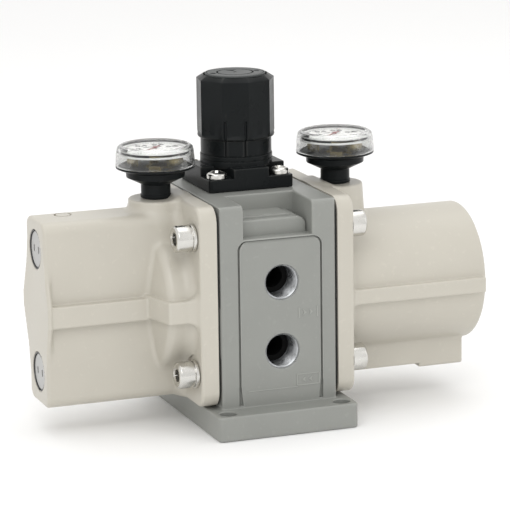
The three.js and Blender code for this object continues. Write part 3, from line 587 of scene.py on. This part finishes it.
def cut_body_holes(whole, x, y, z):
    """Cuts the ports, bores and holes, and the ways for the rod, the changeover valve and the governor."""
    for port_z in PORT_Z:
        out = np.hypot(x - PORT_X, z - port_z)
        whole = less(whole, both(out - np.maximum(PORT_R, -33.3 - y), y + 27.8), 0.15)
        whole = less(whole, both(out - PORT_WAY_R, y + 14))
    for side in (-1, 1):
        whole = less(whole, both(disc(y, z - AXIS_Z, BORE_R), 8 - side * x), 0.3)
        for bolt_y in (-BOLT_Y, BOLT_Y):
            for bolt_z in BOLT_Z:
                whole = less(whole, both(disc(y - bolt_y, z - bolt_z, BOLT_HOLE_R), 21.3 - side * x))
        for face in (-1, 1):
            out = np.hypot(x - side * FOOT_HOLE_X, y - face * FOOT_HOLE_Y)
            whole = less(whole, both(out - np.maximum(FOOT_HOLE_R, z - 7.6), z - 14))
    partition = span(x, -9, 9)
    whole = less(whole, both(disc(y, z - AXIS_Z, 8.0), partition))
    whole = less(whole, both(disc(y, z - VALVE_Z, 5.7), partition))
    out = np.hypot(x - GOVERNOR_X, y - GOVERNOR_Y)
    whole = less(whole, both(out - 13, 93 - z))
    return less(whole, both(out - 5.2, 79 - z))


def body_field(x, y, z):
    """The body casting: foot plate and pillar, with everything that is cut into them."""
    foot = both(plate(x, y, -FOOT_X, FOOT_X, -FOOT_Y, FOOT_Y, 2.4), span(z, 0.1, FOOT_TOP), 0.9)
    front_round = both(np.abs(y) - BODY_Y, z - BODY_TOP, 2.6)
    pillar = both(plate(x, y, -BODY_X, BODY_X, -BODY_Y, BODY_Y, 1.6), z - BODY_TOP, 0.7)
    whole = either(foot, both(both(pillar, front_round), 2 - z), 0.7)
    whole = cut_panel(less(whole, recess_field(x, y, z), 0.8), x, y, z)
    back = plate(x, z, -20.5, 20.5, 20, 102, 4.0)
    whole = less(whole, both(np.abs(back + 0.5) - 0.5, 41.4 - y), 0.2)
    return cut_body_holes(whole, x, y, z)


def build_body():
    xs = lines(-36.5, 36.5, 0.95, [
        (-30.3, -28.3, 0.5), (-21, -18.4, 0.36), (16.2, 17.8, 0.4), (20.2, 22.6, 0.36), (28.3, 30.3, 0.5)])
    ys = lines(-56.5, 56.5, 1.05, [
        (-56, -54.4, 0.5), (-43.2, -38.4, 0.4), (-36.4, -34.4, 0.45), (-17, -15.8, 0.5), (40.6, 43.2, 0.45)])
    zs = lines(-1, 111.2, 1.05, [
        (-0.4, 0.8, 0.5), (11, 14.4, 0.42), (90.6, 95, 0.36), (100, 103, 0.42), (107.6, 110.6, 0.42)])
    mesh = contour("body_casting", body_field, xs, ys, zs)
    piece("body_casting", mesh, "grey_paint", replaces=["body"])


def build_ports():
    """Each port's cut thread, as turned ridges in a bright machined wall, and the way behind it as a closed
    near-black cup, painted shade for the deep passage.
    """
    start, end, pitch = 28.4, 40.6, 1.3
    crest, root = 7.7, 8.3
    for label, z in zip(("upper", "lower"), PORT_Z):
        profile = []
        height = start
        while height < end:
            profile += [(root, height), (crest, height + pitch / 2)]
            height += pitch
        profile += [(8.3, 41.2), (8.8, 42.15), (9.0, 42.15), (8.5, 41.1), (8.4, 28.0)]
        thread = turned(f"port_thread_{label}", profile, 96, sharp=20.0)
        place = at(PORT_X, 0, z) @ ALONG_FRONT
        piece(f"port_thread_{label}", thread, "aluminium", matrix=place, material=THREAD)
        # The way is a closed near-black cup, painted shade standing in for the shaded depth of the passage.
        way = turned(f"port_way_{label}", [
            (0.0, 14.2), (5.55, 14.2), (5.55, 27.9), (8.4, 27.9), (8.4, 29.4), (8.0, 28.4), (5.3, 28.2),
            (5.3, 14.7), (0.0, 14.7)], 64)
        piece(f"port_way_{label}", way, "grey_paint", matrix=place, material=WAY_PAINTED_SHADE)


# ---- covers ----
def flange_field(x, y, z):
    """A cover's flange, with X pointing away from the body."""
    outline = plate(y, z, -FLANGE_Y, FLANGE_Y, FLANGE_LOW, FLANGE_TOP, 7.5)
    return both(both(outline, x - FLANGE_X, 1.5), FLANGE_IN_X - x, 0.35)


def boss_field(x, y, z, taper):
    """The round boss under a gauge, which widens downwards."""
    out = np.hypot(x - BOSS_X, y)
    return both(both(out - BOSS_R - (BOSS_TOP - z) * taper, z - BOSS_TOP, 0.9), 76 - z)


def cover_holes(whole, x, y, z, bore_end, spot_r, sunk):
    """Cuts a cover's cylinder bore, its screw holes with their spot faces, and its gauge hole."""
    whole = less(whole, both(disc(y, z - AXIS_Z, BORE_R), x - bore_end))
    for bolt_y in (-BOLT_Y, BOLT_Y):
        for bolt_z in BOLT_Z:
            out = np.hypot(y - bolt_y, z - bolt_z)
            whole = less(whole, both(out - spot_r, FLANGE_X - sunk - x), 0.4)
            whole = less(whole, both(out - BOLT_HOLE_R, x - 40))
    whole = less(whole, both(disc(x - BOSS_X, y, 5.6), 97 - z), 0.3)
    return less(whole, both(disc(x - BOSS_X, y, 2.2), 80 - z))


def cover_left_field(x, y, z):
    """The short round drum and the tall flat slab, with ribs at mid height."""
    x = -x
    slab = both(plate(y, z, -15, 14, SLAB_LOW, SLAB_TOP, 5.2), both(x - SLAB_END_X, 30 - x), 1.6)
    end = wedge(y, z, [
        (-11.5, 30), (9, 20), (23.4, 58), (23.4, 63.6), (9, 98), (-11.5, 92), (-19.9, 64), (-19.9, 54)])
    end = both(end, both(x - SLAB_END_X, 104.6 - x), 1.4)
    out = np.hypot(y, z - AXIS_Z)
    slope = 0.25  # of the drum's outer face and its rib
    drum = both(out - DRUM_R, x - 51.4 - slope * (DRUM_R - out), 3.0)
    slab_rib = both(plate(y, z, -19.2, 22, 53.6, 64.2, 0.9), both(x - 104.9, 50 - x), 0.9)
    reach = 37.5
    drum_rib = plate(y, z, -reach, reach, 54.6, 65.5, 0.9)
    drum_rib = both(drum_rib, x - 53 - slope * (reach - np.abs(y)), 0.9)
    whole = slab
    for shape, fillet in (
        (end, 2.0), (drum, 2.2), (slab_rib, 0.8), (both(drum_rib, 30 - x), 0.8),
        (boss_field(x, y, z, 0.03), 3.0), (flange_field(x, y, z), 5.5),
    ):
        whole = either(whole, shape, fillet)
    whole = both(both(whole, FLANGE_IN_X - x), both(x - SLAB_END_X, FLANGE_LOW - z))
    whole = cover_holes(whole, x, y, z, 50, 8.9, 0.02)
    whole = less(whole, block(x, y, z, (49, 98), (-11, 11), (42.5, 76.5)))
    for check_z in CHECK_Z:
        out = np.hypot(y, z - check_z)
        mouth = np.maximum(CHECK_R, CHECK_R + (x - SLAB_END_X + 0.5))
        whole = less(whole, both(out - mouth, 95 - x), 0.1)
        whole = less(whole, both(out - 7, 64.5 - x))
    # A small round blanking mark on top of the slab.
    ring = np.abs(np.hypot(x - 91.4, y - 5) - 3.8) - 0.5
    return less(whole, both(ring, 102.3 - z), 0.15)


def cover_right_field(x, y, z):
    """The long round drum with its rib at mid height, on an undercut foot slab."""
    drum = both(np.hypot(y, z - AXIS_Z) - DRUM_R, x - RIGHT_END_X, 1.6)
    rib = both(plate(y, z, -37.2, 37.2, 55.3, 62.7, 0.8), x - RIGHT_RIB_END_X, 0.8)
    foot = both(plate(y, z, -14.6, 14.6, RIGHT_FOOT_LOW, 50, 1.4), x - RIGHT_FOOT_END_X, 1.2)
    foot = less(foot, block(x, y, z, (45, 84.6), (-20, 20), (0, 16.5)), 0.8)
    whole = drum
    for shape, fillet in (
        (foot, 1.6), (rib, 0.8), (boss_field(x, y, z, 0.06), 2.6), (flange_field(x, y, z), 5.0),
    ):
        whole = either(whole, shape, fillet)
    whole = both(both(whole, FLANGE_IN_X - x), both(x - RIGHT_END_X, FLANGE_LOW - z))
    whole = cover_holes(whole, x, y, z, 105, 8.3, RIGHT_SUNK)
    outlet = np.hypot(x - 95, y) - np.maximum(5, 5 + (RIGHT_FOOT_LOW + 0.6 - z))
    return less(whole, both(outlet, z - 38), 0.2)


def build_covers():
    ys = lines(-43, 43, 0.95, [(-42.6, -40.4, 0.5), (40.4, 42.6, 0.5), (-20, -14, 0.5)])
    zs = lines(12, 111, 0.95, [
        (12.8, 16.8, 0.5), (52.8, 56.2, 0.45), (61.8, 66.4, 0.45), (101.6, 104, 0.5), (107.6, 110.4, 0.5)])
    left_xs = lines(-108, -29.5, 0.95, [
        (-107.6, -103.6, 0.5), (-56, -49, 0.6), (-39.6, -37.4, 0.45), (-31.2, -29.9, 0.4)])
    right_xs = lines(29.5, 113, 0.95, [
        (29.9, 31.2, 0.4), (36.8, 39.6, 0.45), (83.6, 86, 0.5), (106, 112.6, 0.5)])
    for label, field, xs in (("left", cover_left_field, left_xs), ("right", cover_right_field, right_xs)):
        mesh = contour(f"cover_{label}_casting", field, xs, ys, zs)
        piece(f"cover_{label}_casting", mesh, "beige_paint", replaces=[f"cover_{label}"])


SOCKET_HALF = 3.0  # half the width across the flats of a cover screw's hexagon socket


def socket_shape(angles, r, h):
    """Widens the rings inside the socket into a hexagon."""
    if r < SOCKET_HALF:
        return SOCKET_HALF / np.cos((angles + math.pi / 6) % (math.pi / 3) - math.pi / 6)
    return np.full_like(angles, r)


def build_cover_bolts():
    """Socket head cap screws, each on a flat washer, bright plated."""
    mesh = turned("cover_bolt", [
        (0.0, -13.0), (3.9, -13.0, 0.5), (3.9, 0.3), (6.8, 0.3, 0.2), (6.8, 1.9, 0.2), (5.9, 1.95),
        (5.9, 2.3), (6.4, 2.4, 0.2), (6.4, 9.0, 0.8), (5.5, 9.9, 0.2), (4.2, 9.9, 0.1), (3.5, 9.4),
        (2.9, 9.35), (2.9, 5.6), (1.2, 5.0), (0.0, 4.8),
    ], 72, socket_shape)
    for side, label, seat_x, aim in (
        (-1, "left", -FLANGE_X, ALONG_MINUS_X),
        (1, "right", FLANGE_X - RIGHT_SUNK, ALONG_X),
    ):
        corners = [(bolt_y, bolt_z) for bolt_y in (-BOLT_Y, BOLT_Y) for bolt_z in BOLT_Z[::-1]]
        for number, (bolt_y, bolt_z) in enumerate(corners, 1):
            place = at(seat_x, bolt_y, bolt_z) @ aim @ Matrix.Rotation(0.35 * number + side, 4, "Z")
            name = f"cover_bolt_{label}_{number}"
            piece(f"{name}_head", mesh, "plated_steel", matrix=place, replaces=[name])


# ---- check valve plugs in the left end ----
def plug_field(x, y, z):
    """A plug with two spanner slots in its face."""
    body = both(np.hypot(x, y) - 8.65, span(z, 0, 9.2), 0.3)
    return less(body, both(plate(np.abs(x), y, 2.7, 4.5, -1.8, 1.8, 0.8), 7.6 - z), 0.1)


def ring_field(x, y, z):
    """An open snap ring."""
    out = np.hypot(x, y)
    ring = both(np.abs(out - 9.1) - 0.32, span(z, 0, 0.7), 0.1)
    return both(ring, (0.10 - np.abs(np.arctan2(y, x))) * out)


def build_plugs():
    """Each plug's face stands nearly flush, held by a thin dark snap ring."""
    flat = lines(-10, 10, 0.3)
    plug = contour("check_plug", plug_field, flat, flat, lines(-1, 10, 0.4))
    fine = lines(-10, 10, 0.2)
    ring = contour("snap_ring", ring_field, fine, fine, lines(-0.6, 1.4, 0.2))
    for label, z, turn in (("upper", CHECK_Z[0], math.pi / 2), ("lower", CHECK_Z[1], math.pi * 1.5)):
        place = at(-97.0, 0, z) @ ALONG_MINUS_X
        piece(f"check_plug_{label}", plug, "aluminium", "housing", place, [f"plug_{label}"], MATT_ALUMINIUM)
        place = at(-106.0, 0, z) @ ALONG_MINUS_X @ Matrix.Rotation(turn, 4, "Z")
        replaced = [f"plug_ring_{label}"]
        piece(f"snap_ring_{label}", ring, "plated_steel", "housing", place, replaced, DARK_STEEL)


# ---- bonnet, its screws, knob, cap and springs ----
# Two pairs of narrow grooves run down the knob's skirt and the neck, in front and behind.
GROOVE_ANGLES = [math.radians(a) for a in (234.2, 265.0, 54.2, 85.0)]
NECK_R = 17.25
KNOB_R, SKIRT_TOP, FLUTES, FLUTE_DEPTH = 19.1, 143.2, 9, 1.25


def turn_from(angles, centre):
    """How far each angle is from a centre angle, either way round."""
    return np.abs((angles - centre + math.pi) % (2 * math.pi) - math.pi)


def bonnet_field(x, y, z):
    """A square plate with four screw wells, a raised collar and a grooved neck."""
    out = np.hypot(x, y)
    base = both(plate(x, y, -21.5, 21.5, -21.5, 21.5, 1.6), span(z, 110.3, 120.7), 0.5)
    well = both(plate(np.abs(x), np.abs(y), 8.9, 40, 8.9, 40, 6.6), 116.3 - z)
    base = less(base, well, 0.4)
    collar_r = 17.6
    collar = both(out - collar_r, span(z, 112, 125.5), 0.5)
    base = either(base, less(collar, both(well, z - 120.9)), 0.4)
    base = less(base, both(np.abs(out - collar_r) - 0.35, span(z, 123.0, 123.5)))
    angle = np.arctan2(y, x)
    neck = both(out - NECK_R, span(z, 120, 133.4), 0.4)
    for centre in GROOVE_ANGLES:
        groove = both(turn_from(angle, centre) * 17 - 0.55, 16.3 - out)
        neck = less(neck, both(groove, 125.6 - z))
    whole = either(base, neck)
    whole = less(whole, both(np.abs(out - 17.4) - 0.45, span(z, 125.4, 125.9)))
    whole = less(whole, both(out - 12.8, z - 140))
    whole = less(whole, both(out - 17.2, z - 111.6))
    return less(whole, disc(np.abs(x) - SCREW_REACH, np.abs(y) - SCREW_REACH, 2.7))


def pan_screw_field(x, y, z):
    """A pan head screw with a cross recess; its seat is at height 0."""
    out = np.hypot(x, y)
    dome = np.sqrt(out * out + (z + 5.6) ** 2) - 9.0
    head = both(both(out - 4.8, -z), dome, 0.5)
    shank = both(out - 2.3, span(z, -15, 1))
    u, v = np.abs(x), np.abs(y)
    reach, half = 3.1 - (3.4 - z) * 0.35, 0.75
    cross = np.minimum(both(u - reach, v - half), both(v - reach, u - half))
    return less(either(head, shank), both(cross, 0.6 - z), 0.12)


def build_bonnet():
    flat = lines(-22.4, 22.4, 0.55)
    zs = lines(109.5, 134.2, 0.5, [(115.8, 117, 0.3), (122.6, 126.4, 0.25)])
    mesh = contour("bonnet_moulding", bonnet_field, flat, flat, zs)
    piece("bonnet_moulding", mesh, "black_plastic", matrix=GOVERNOR_AXIS, replaces=["bonnet"])

    grid = lines(-5.4, 5.4, 0.2)
    screw = contour("pan_screw", pan_screw_field, grid, grid, lines(-15.6, 4.4, 0.22))
    for number, (a, b) in enumerate(((-1, -1), (-1, 1), (1, -1), (1, 1)), 1):
        place = at(GOVERNOR_X + SCREW_REACH * a, GOVERNOR_Y + SCREW_REACH * b, 116.6)
        name = f"bonnet_screw_{number}"
        spin = Matrix.Rotation(0.5 + 0.7 * number, 4, "Z")
        piece(f"{name}_head", screw, "plated_steel", matrix=place @ spin, replaces=[name])


def knob_shape(angles, r, h):
    """Nine wide shallow flutes, and narrow grooves low on the skirt."""
    radii = np.full_like(angles, r)
    if r < 15.9:
        return radii
    across = ((angles - math.radians(270)) / (2 * math.pi / FLUTES)) % 1.0 * 2 - 1
    fade_low = min(1.0, max(0.0, (h - 134.4) / 1.5))
    fade_high = 1.0 if h < 161 else max(0.25, (164.2 - h) / 3.2)
    radii = radii - FLUTE_DEPTH * (1 - np.abs(across) ** 2.2) * (fade_low * fade_high)
    if h < SKIRT_TOP:
        for centre in GROOVE_ANGLES:
            radii = np.where(turn_from(angles, centre) < 0.034, radii - 0.8, radii)
    return radii


def cap_field(x, y, z):
    """The cap's disc with two rings, two dimples, a dot and an arrow sunk in its face."""
    out = np.hypot(x, y)
    face = both(out - 14.7, span(z, 162.9, 164.6), 0.4)
    marks = (
        (np.abs(out - 13.9) - 0.2, 164.2),
        (np.abs(out - 8.7) - 0.45, 163.7),
        (np.hypot(np.abs(x) - 11.2, y) - 1.5, 163.2),
        (out - 0.9, 163.4),
        (wedge(x, y, [(-3.0, 6.4), (0, 3.2), (3.0, 6.4)]), 163.6),
    )
    for mark, floor in marks:
        face = less(face, both(mark, floor - z), 0.1)
    return face


def build_knob():
    """The hollow knob from its socket, down inside, and up the fluted outside; and its cap."""
    profile = [
        (0.0, 158.5), (5.6, 158.5), (5.6, 147.0, 0.4), (15.2, 147.0, 0.8), (15.2, 133.7, 0.3),
        (18.4, 133.7, 0.5), (18.8, 134.5), (KNOB_R, 136.0),
    ]
    profile += [(KNOB_R, h) for h in (143.0, SKIRT_TOP, 146, 150, 154, 158, 160.6)]
    profile += [
        (KNOB_R, 161.9, 0.2), (15.9, 163.95, 0.2), (15.5, 163.95, 0.1), (15.4, 163.4), (15.4, 162.6),
        (0.0, 162.6),
    ]
    mesh = turned("knob_moulding", profile, 360, knob_shape, 28.0)
    piece("knob_moulding", mesh, "black_plastic", "knob", GOVERNOR_AXIS, ["knob"])
    grid = lines(-15.8, 15.8, 0.32)
    mesh = contour("knob_cap_disc", cap_field, grid, grid, lines(162.4, 165.2, 0.2))
    piece("knob_cap_disc", mesh, "black_plastic", "knob", GOVERNOR_AXIS, ["knob_cap"], CAP_FACE)


def build_springs():
    """The springs inside, each coil baked in place about the governor's axis and tied to no body."""
    for name, body, radius, wire, low, high, turns in (
        ("governor_spring", "nut", 7.4, 1.0, 113.9, 127.6, 3.5),
        ("governor_valve_spring", "pilot", 3.2, 0.5, 79.4, 86.5, 3),
    ):
        climb = high - low - 2 * wire
        steps = round(28 * turns)
        mesh = tube_arc(f"{name}_wire", radius, 0, 360 * turns, wire, wire, low + wire, steps, climb)
        bend = (low + 2 * wire, high - 2 * wire)
        piece(f"{name}_coil", mesh, "plated_steel", body, GOVERNOR_AXIS, [name], bend=bend)


# ---- pressure gauges ----
def text_mesh(text, size, x, y, z):
    """Flat lettering for a dial, as a mesh and its place. It is filled at full size and then made small,
    because the fill drops parts of very small letters."""
    curve = bpy.data.curves.new("dial_text", "FONT")
    curve.body, curve.size, curve.align_x, curve.align_y = text, size, "CENTER", "CENTER"
    curve.extrude, curve.offset = 0.03, 0.17
    holder = bpy.data.objects.new("dial_text", curve)
    show(holder)
    mesh = bpy.data.meshes.new_from_object(holder)
    mesh.transform(Matrix.Scale(MM, 4))
    bpy.data.objects.remove(holder)
    bpy.data.curves.remove(curve)
    return mesh, at(x, y, z)


def dial_print():
    """Scale ticks over 270 degrees, numbers 0 to 1, the unit and a short line."""
    parts = []
    first, sweep, ticks, tick_r, number_r = 225, 270, 50, 14.6, 9.2
    print_t = 0.05
    for i in range(ticks + 1):
        long = 2.6 if i % 10 == 0 else 1.9 if i % 5 == 0 else 1.2
        half = 0.14 if i % 10 else 0.26
        angle = math.radians(first - sweep * i / ticks)
        tick = bar(tick_r - long, tick_r, -half, half, 0, print_t)
        parts.append((tick, at(0, 0, DIAL_TOP) @ Matrix.Rotation(angle, 4, "Z")))
    text_z = DIAL_TOP + 0.03
    for i, number in enumerate(("0", "0.2", "0.4", "0.6", "0.8", "1")):
        angle = math.radians(first - sweep * i / 5)
        parts.append(text_mesh(number, 4.6, number_r * math.cos(angle), number_r * math.sin(angle), text_z))
    parts.append(text_mesh("MPa", 4.4, 0, -9.9, text_z))
    parts.append((bar(-4.6, 4.6, 3.4, 4.4, 0, print_t), at(0, 0, DIAL_TOP)))
    return merged("dial_print", parts)


def pinion_shape(angles, r, h):
    """Cuts teeth into the pinion's widest rings."""
    return r + (0.18 * np.sign(np.sin(angles * 12)) if r > 1.4 else 0 * angles)


def gauge_train():
    """Two plates on four posts, a toothed sector, a block for the tube's end and the pinion."""
    pinion = turned("pinion", [
        (0.0, 125.7), (1.5, 125.7), (1.5, 127.4), (0.8, 127.4), (0.8, 131.0), (0.0, 131.0)], 32, pinion_shape)
    post = turned("post", [
        (0.0, 125.4), (0.9, 125.4), (0.7, 125.7), (0.7, 128.0), (0.9, 128.3), (0.0, 128.3)], 20)
    sector = outline_prism("sector", [(0.6, -1.0), (7.2, -3.4), (8.2, 0), (7.2, 3.4), (0.6, 1.0)],
                           126.4, 127.2, 0.1)
    turned_aside = [
        (bar(-6.2, 6.2, -4.4, 4.4, 124.5, 125.5), Matrix()),
        (bar(-5.4, 5.4, -3.6, 3.6, 128.1, 129.1), Matrix()),
        *[(post, at(x, y, 0)) for x in (-4.4, 4.4) for y in (-2.7, 2.7)],
        (sector, at(1.6, 0, 0)),
        (bar(-3.0, 3.0, -9.6, -4.4, 124.5, 126.0), Matrix()),
    ]
    aside = at(2.2, -3.2, 0) @ Matrix.Rotation(math.radians(-38), 4, "Z")
    parts = [(mesh, aside @ place) for mesh, place in turned_aside]
    return merged("gauge_train", parts + [(pinion, Matrix())])


def flat_ring(name, inner, outer, low, high, low_round=0.1):
    """A flat ring or disc about Z."""
    return turned(name, [(inner, low), (outer, low, low_round), (outer, high, 0.1), (inner, high)], 96)


def gauge_meshes():
    """The still pieces of a gauge as (name, mesh, slot, node it stands for, material)."""
    case = turned("gauge_case", [
        (0.0, 98.5), (4.8, 98.5, 0.4), (4.8, 109.3), (7.4, 109.3, 0.3), (7.4, 110.8, 0.2), (7.1, 111.0),
        (7.1, 115.9, 0.5), (14.0, 119.3, 0.3), (14.2, 122.0, 0.3), (18.0, 123.4, 0.3), (18.9, 123.8, 0.2),
        (19.0, 124.6, 0.1), (17.2, 124.6), (17.2, 123.9), (0.0, 123.9),
    ], 120)
    lens = turned("gauge_lens", [
        (15.8, 133.95), (16.6, 133.9, 0.4), (17.3, 132.3, 0.5), (17.8, 125.6), (18.0, 124.7, 0.1),
        (19.1, 124.8, 0.2), (19.1, 125.6, 0.2), (18.5, 131.8), (18.1, 133.6, 0.8), (16.9, 134.5, 0.8),
        (15.8, 134.8),
    ], 120)
    window = flat_ring("gauge_window", 0.0, 15.8, 134.2, 134.85, 0)
    dial = flat_ring("gauge_dial", 1.2, 16.0, DIAL_TOP - 0.8, DIAL_TOP)
    back = flat_ring("gauge_back", 0.0, 17.1, 123.95, 124.5, 0)
    ring = flat_ring("gauge_ring", 15.8, 17.2, 130.1, 130.9)
    shroud = tube_arc("gauge_shroud", 16.2, -62, 242, 0.3, 0.55, 131.4)
    crown = tube_arc("gauge_crown", 16.5, 5, 200, 0.3, 0.5, 133.3)
    tube = tube_arc("gauge_tube", 12.8, -80, 210, 0.7, 2.1, 127.6)
    return [
        ("case", case, "black_plastic", "gauge_case", None),
        ("lens", lens, "clear_plastic", "gauge_lens", None),
        ("window", window, "clear_plastic", None, CLEAR_WINDOW),
        ("dial", dial, "dial_white", "gauge_dial", None),
        ("print", dial_print(), "dial_white", None, PRINT),
        ("back", back, "dial_white", None, BACK_PLATE_PAINTED_SHADE),
        ("ring", ring, "dial_white", None, None),
        ("shroud", shroud, "black_plastic", None, None),
        ("crown", crown, "black_plastic", None, None),
        ("train", gauge_train(), "brass", "gauge_movement", OLIVE_BRASS),
        ("tube", tube, "brass", None, OLIVE_BRASS),
    ]


def pointer_mesh():
    """The pointer along X, as it lies before it is turned to zero, on its hub."""
    low = DIAL_TOP + 0.4
    needle = outline_prism("needle", [
        (-4.6, -0.6), (-1.8, -0.3), (0, -0.4), (12.6, -0.18), (12.6, 0.18), (0, 0.4), (-1.8, 0.3),
        (-4.6, 0.6),
    ], low, low + 0.3, 0.1)
    hub = turned("hub", [
        (0.0, low - 0.3), (1.1, low - 0.2, 0.1), (1.1, low + 0.5, 0.2), (0.5, low + 0.6),
        (0.0, low + 0.5)], 40)
    return merged("gauge_pointer", [(needle, Matrix()), (hub, Matrix())])


def build_gauges():
    still = gauge_meshes()
    pointer = pointer_mesh()
    for side, label in ((-1, "left"), (1, "right")):
        place = at(side * BOSS_X, 0, 0)
        for name, mesh, slot, node, material in still:
            replaced = [f"{node}_{label}"] if node else []
            piece(f"gauge_{name}_{label}_shown", mesh, slot, "housing", place, replaced, material)
        aimed = place @ Matrix.Rotation(math.radians(225), 4, "Z")
        replaced = [f"gauge_needle_{label}"]
        piece(f"gauge_pointer_{label}", pointer, "needle_red", f"needle_{label}", aimed, replaced)


# ---- raised marks on the port panel: plain flow arrows in frames, and a thin line above the foot ----
def build_panel_marks():
    parts = []
    root, proud, edge = 42.1, 42.55, 0.08

    def lay(mesh, x, z):
        parts.append((mesh, at(x, 0, z) @ ALONG_FRONT))

    def stroke(x, z, half_x, half_z, top=proud):
        lay(bar(-half_x, half_x, -half_z, half_z, root, top, edge), x, z)

    def arrow(x, z, way):
        chevron = [(-1.1 * way, -1.5), (0.9 * way, 0), (-1.1 * way, 1.5), (-0.4 * way, 0)]
        lay(outline_prism("chevron", chevron if way > 0 else chevron[::-1], root, proud, edge), x, z)

    upper_z, lower_z = 56, 23.1
    for x in (10.2, 19.6):
        stroke(x, upper_z, 0.3, 2.6)
    for x in (13.2, 16.4):
        arrow(x, upper_z, 1)
    frame_x, half_width, half_height, line = 14.6, 5.4, 2.7, 0.25
    for side in (-1, 1):
        stroke(frame_x, lower_z + side * half_height, half_width, line)
        stroke(frame_x + side * (half_width + line), lower_z, line, half_height)
    for x in (12.4, 15.8):
        arrow(x, lower_z, -1)
    stroke(-3.5, 19.8, 12.5, 0.2, 42.5)
    piece("panel_marks", merged("panel_marks", parts), "grey_paint")


# ---- the CAD nodes that stay, with a finish from their slot ----
def finish_kept_nodes():
    slots = {s["node"]: s["material_slot"] for s in frame["record"]["subparts"]}
    for name, node in frame["nodes"].items():
        if not node.hide_render:
            node.data.materials.clear()
            node.data.materials.append(MATERIALS[slots[name]])


build_body()
build_ports()
build_covers()
build_cover_bolts()
build_plugs()
build_bonnet()
build_knob()
build_springs()
build_gauges()
build_panel_marks()
finish_kept_nodes()


# ---- floor, light and camera ----
def build_stage():
    half, bottom, top = 4000, -20, -0.05
    mesh = outline_prism("floor", [(-half, -half), (half, -half), (half, half), (-half, half)], bottom, top)
    mesh.materials.append(surface("studio_floor", (0.93, 0.93, 0.93), 0.6, vary=0.004, patch=3.0, grain=30.0,
                                  depth=0.0, specular=0.2))
    made = bpy.data.objects.new("floor", mesh)
    show(made)
    world = bpy.data.worlds.new("studio")
    world.use_nodes = True
    preset(world.node_tree.nodes["Background"], {"Color": (1.0, 0.995, 0.985, 1), "Strength": 0.96})
    bpy.context.scene.world = world
    bpy.context.scene.view_settings.view_transform = "Standard"
    aim = Vector((0, 0, 0.07))
    for name, place, size, power in (  # in metres and watts
        ("key", (-0.55, -0.95, 1.0), 0.9, 4.6),
        ("fill", (1.1, -0.7, 0.6), 1.0, 1.5),
        ("top", (0.1, 0.25, 1.3), 1.2, 4.0),
    ):
        light = bpy.data.lights.new(name, "AREA")
        light.energy, light.size = power, size
        lamp = bpy.data.objects.new(name, light)
        lamp.location = place
        lamp.rotation_euler = (aim - Vector(place)).to_track_quat("-Z", "Y").to_euler()
        show(lamp)


def build_camera():
    """The photograph's view: azimuth -20.45 and elevation 12.41 degrees, 1.42 m away."""
    turn, tilt, roll = math.radians(20.45), math.radians(12.41), math.radians(-0.77)
    distance = 1.41823
    target = Vector((7.08, 0, 80.39)) * MM
    forward = Vector((math.sin(turn) * math.cos(tilt), math.cos(turn) * math.cos(tilt), -math.sin(tilt)))
    level = Vector((math.cos(turn), -math.sin(turn), 0))
    up = level.cross(forward)
    right_way = math.cos(roll) * level + math.sin(roll) * up
    up_way = -math.sin(roll) * level + math.cos(roll) * up
    data = bpy.data.cameras.new("camera")
    focal_px, frame_px, sensor = 2914.0, 510.0, 36
    data.sensor_width = sensor
    data.lens = focal_px / frame_px * sensor
    data.shift_x, data.shift_y = -5.92 / frame_px, -9.37 / frame_px
    camera = bpy.data.objects.new("camera", data)
    facing = Matrix((right_way, up_way, -forward)).transposed().to_4x4()
    camera.matrix_world = Matrix.Translation(target - forward * distance) @ facing
    show(camera)
    bpy.context.scene.camera = camera


build_stage()
build_camera()
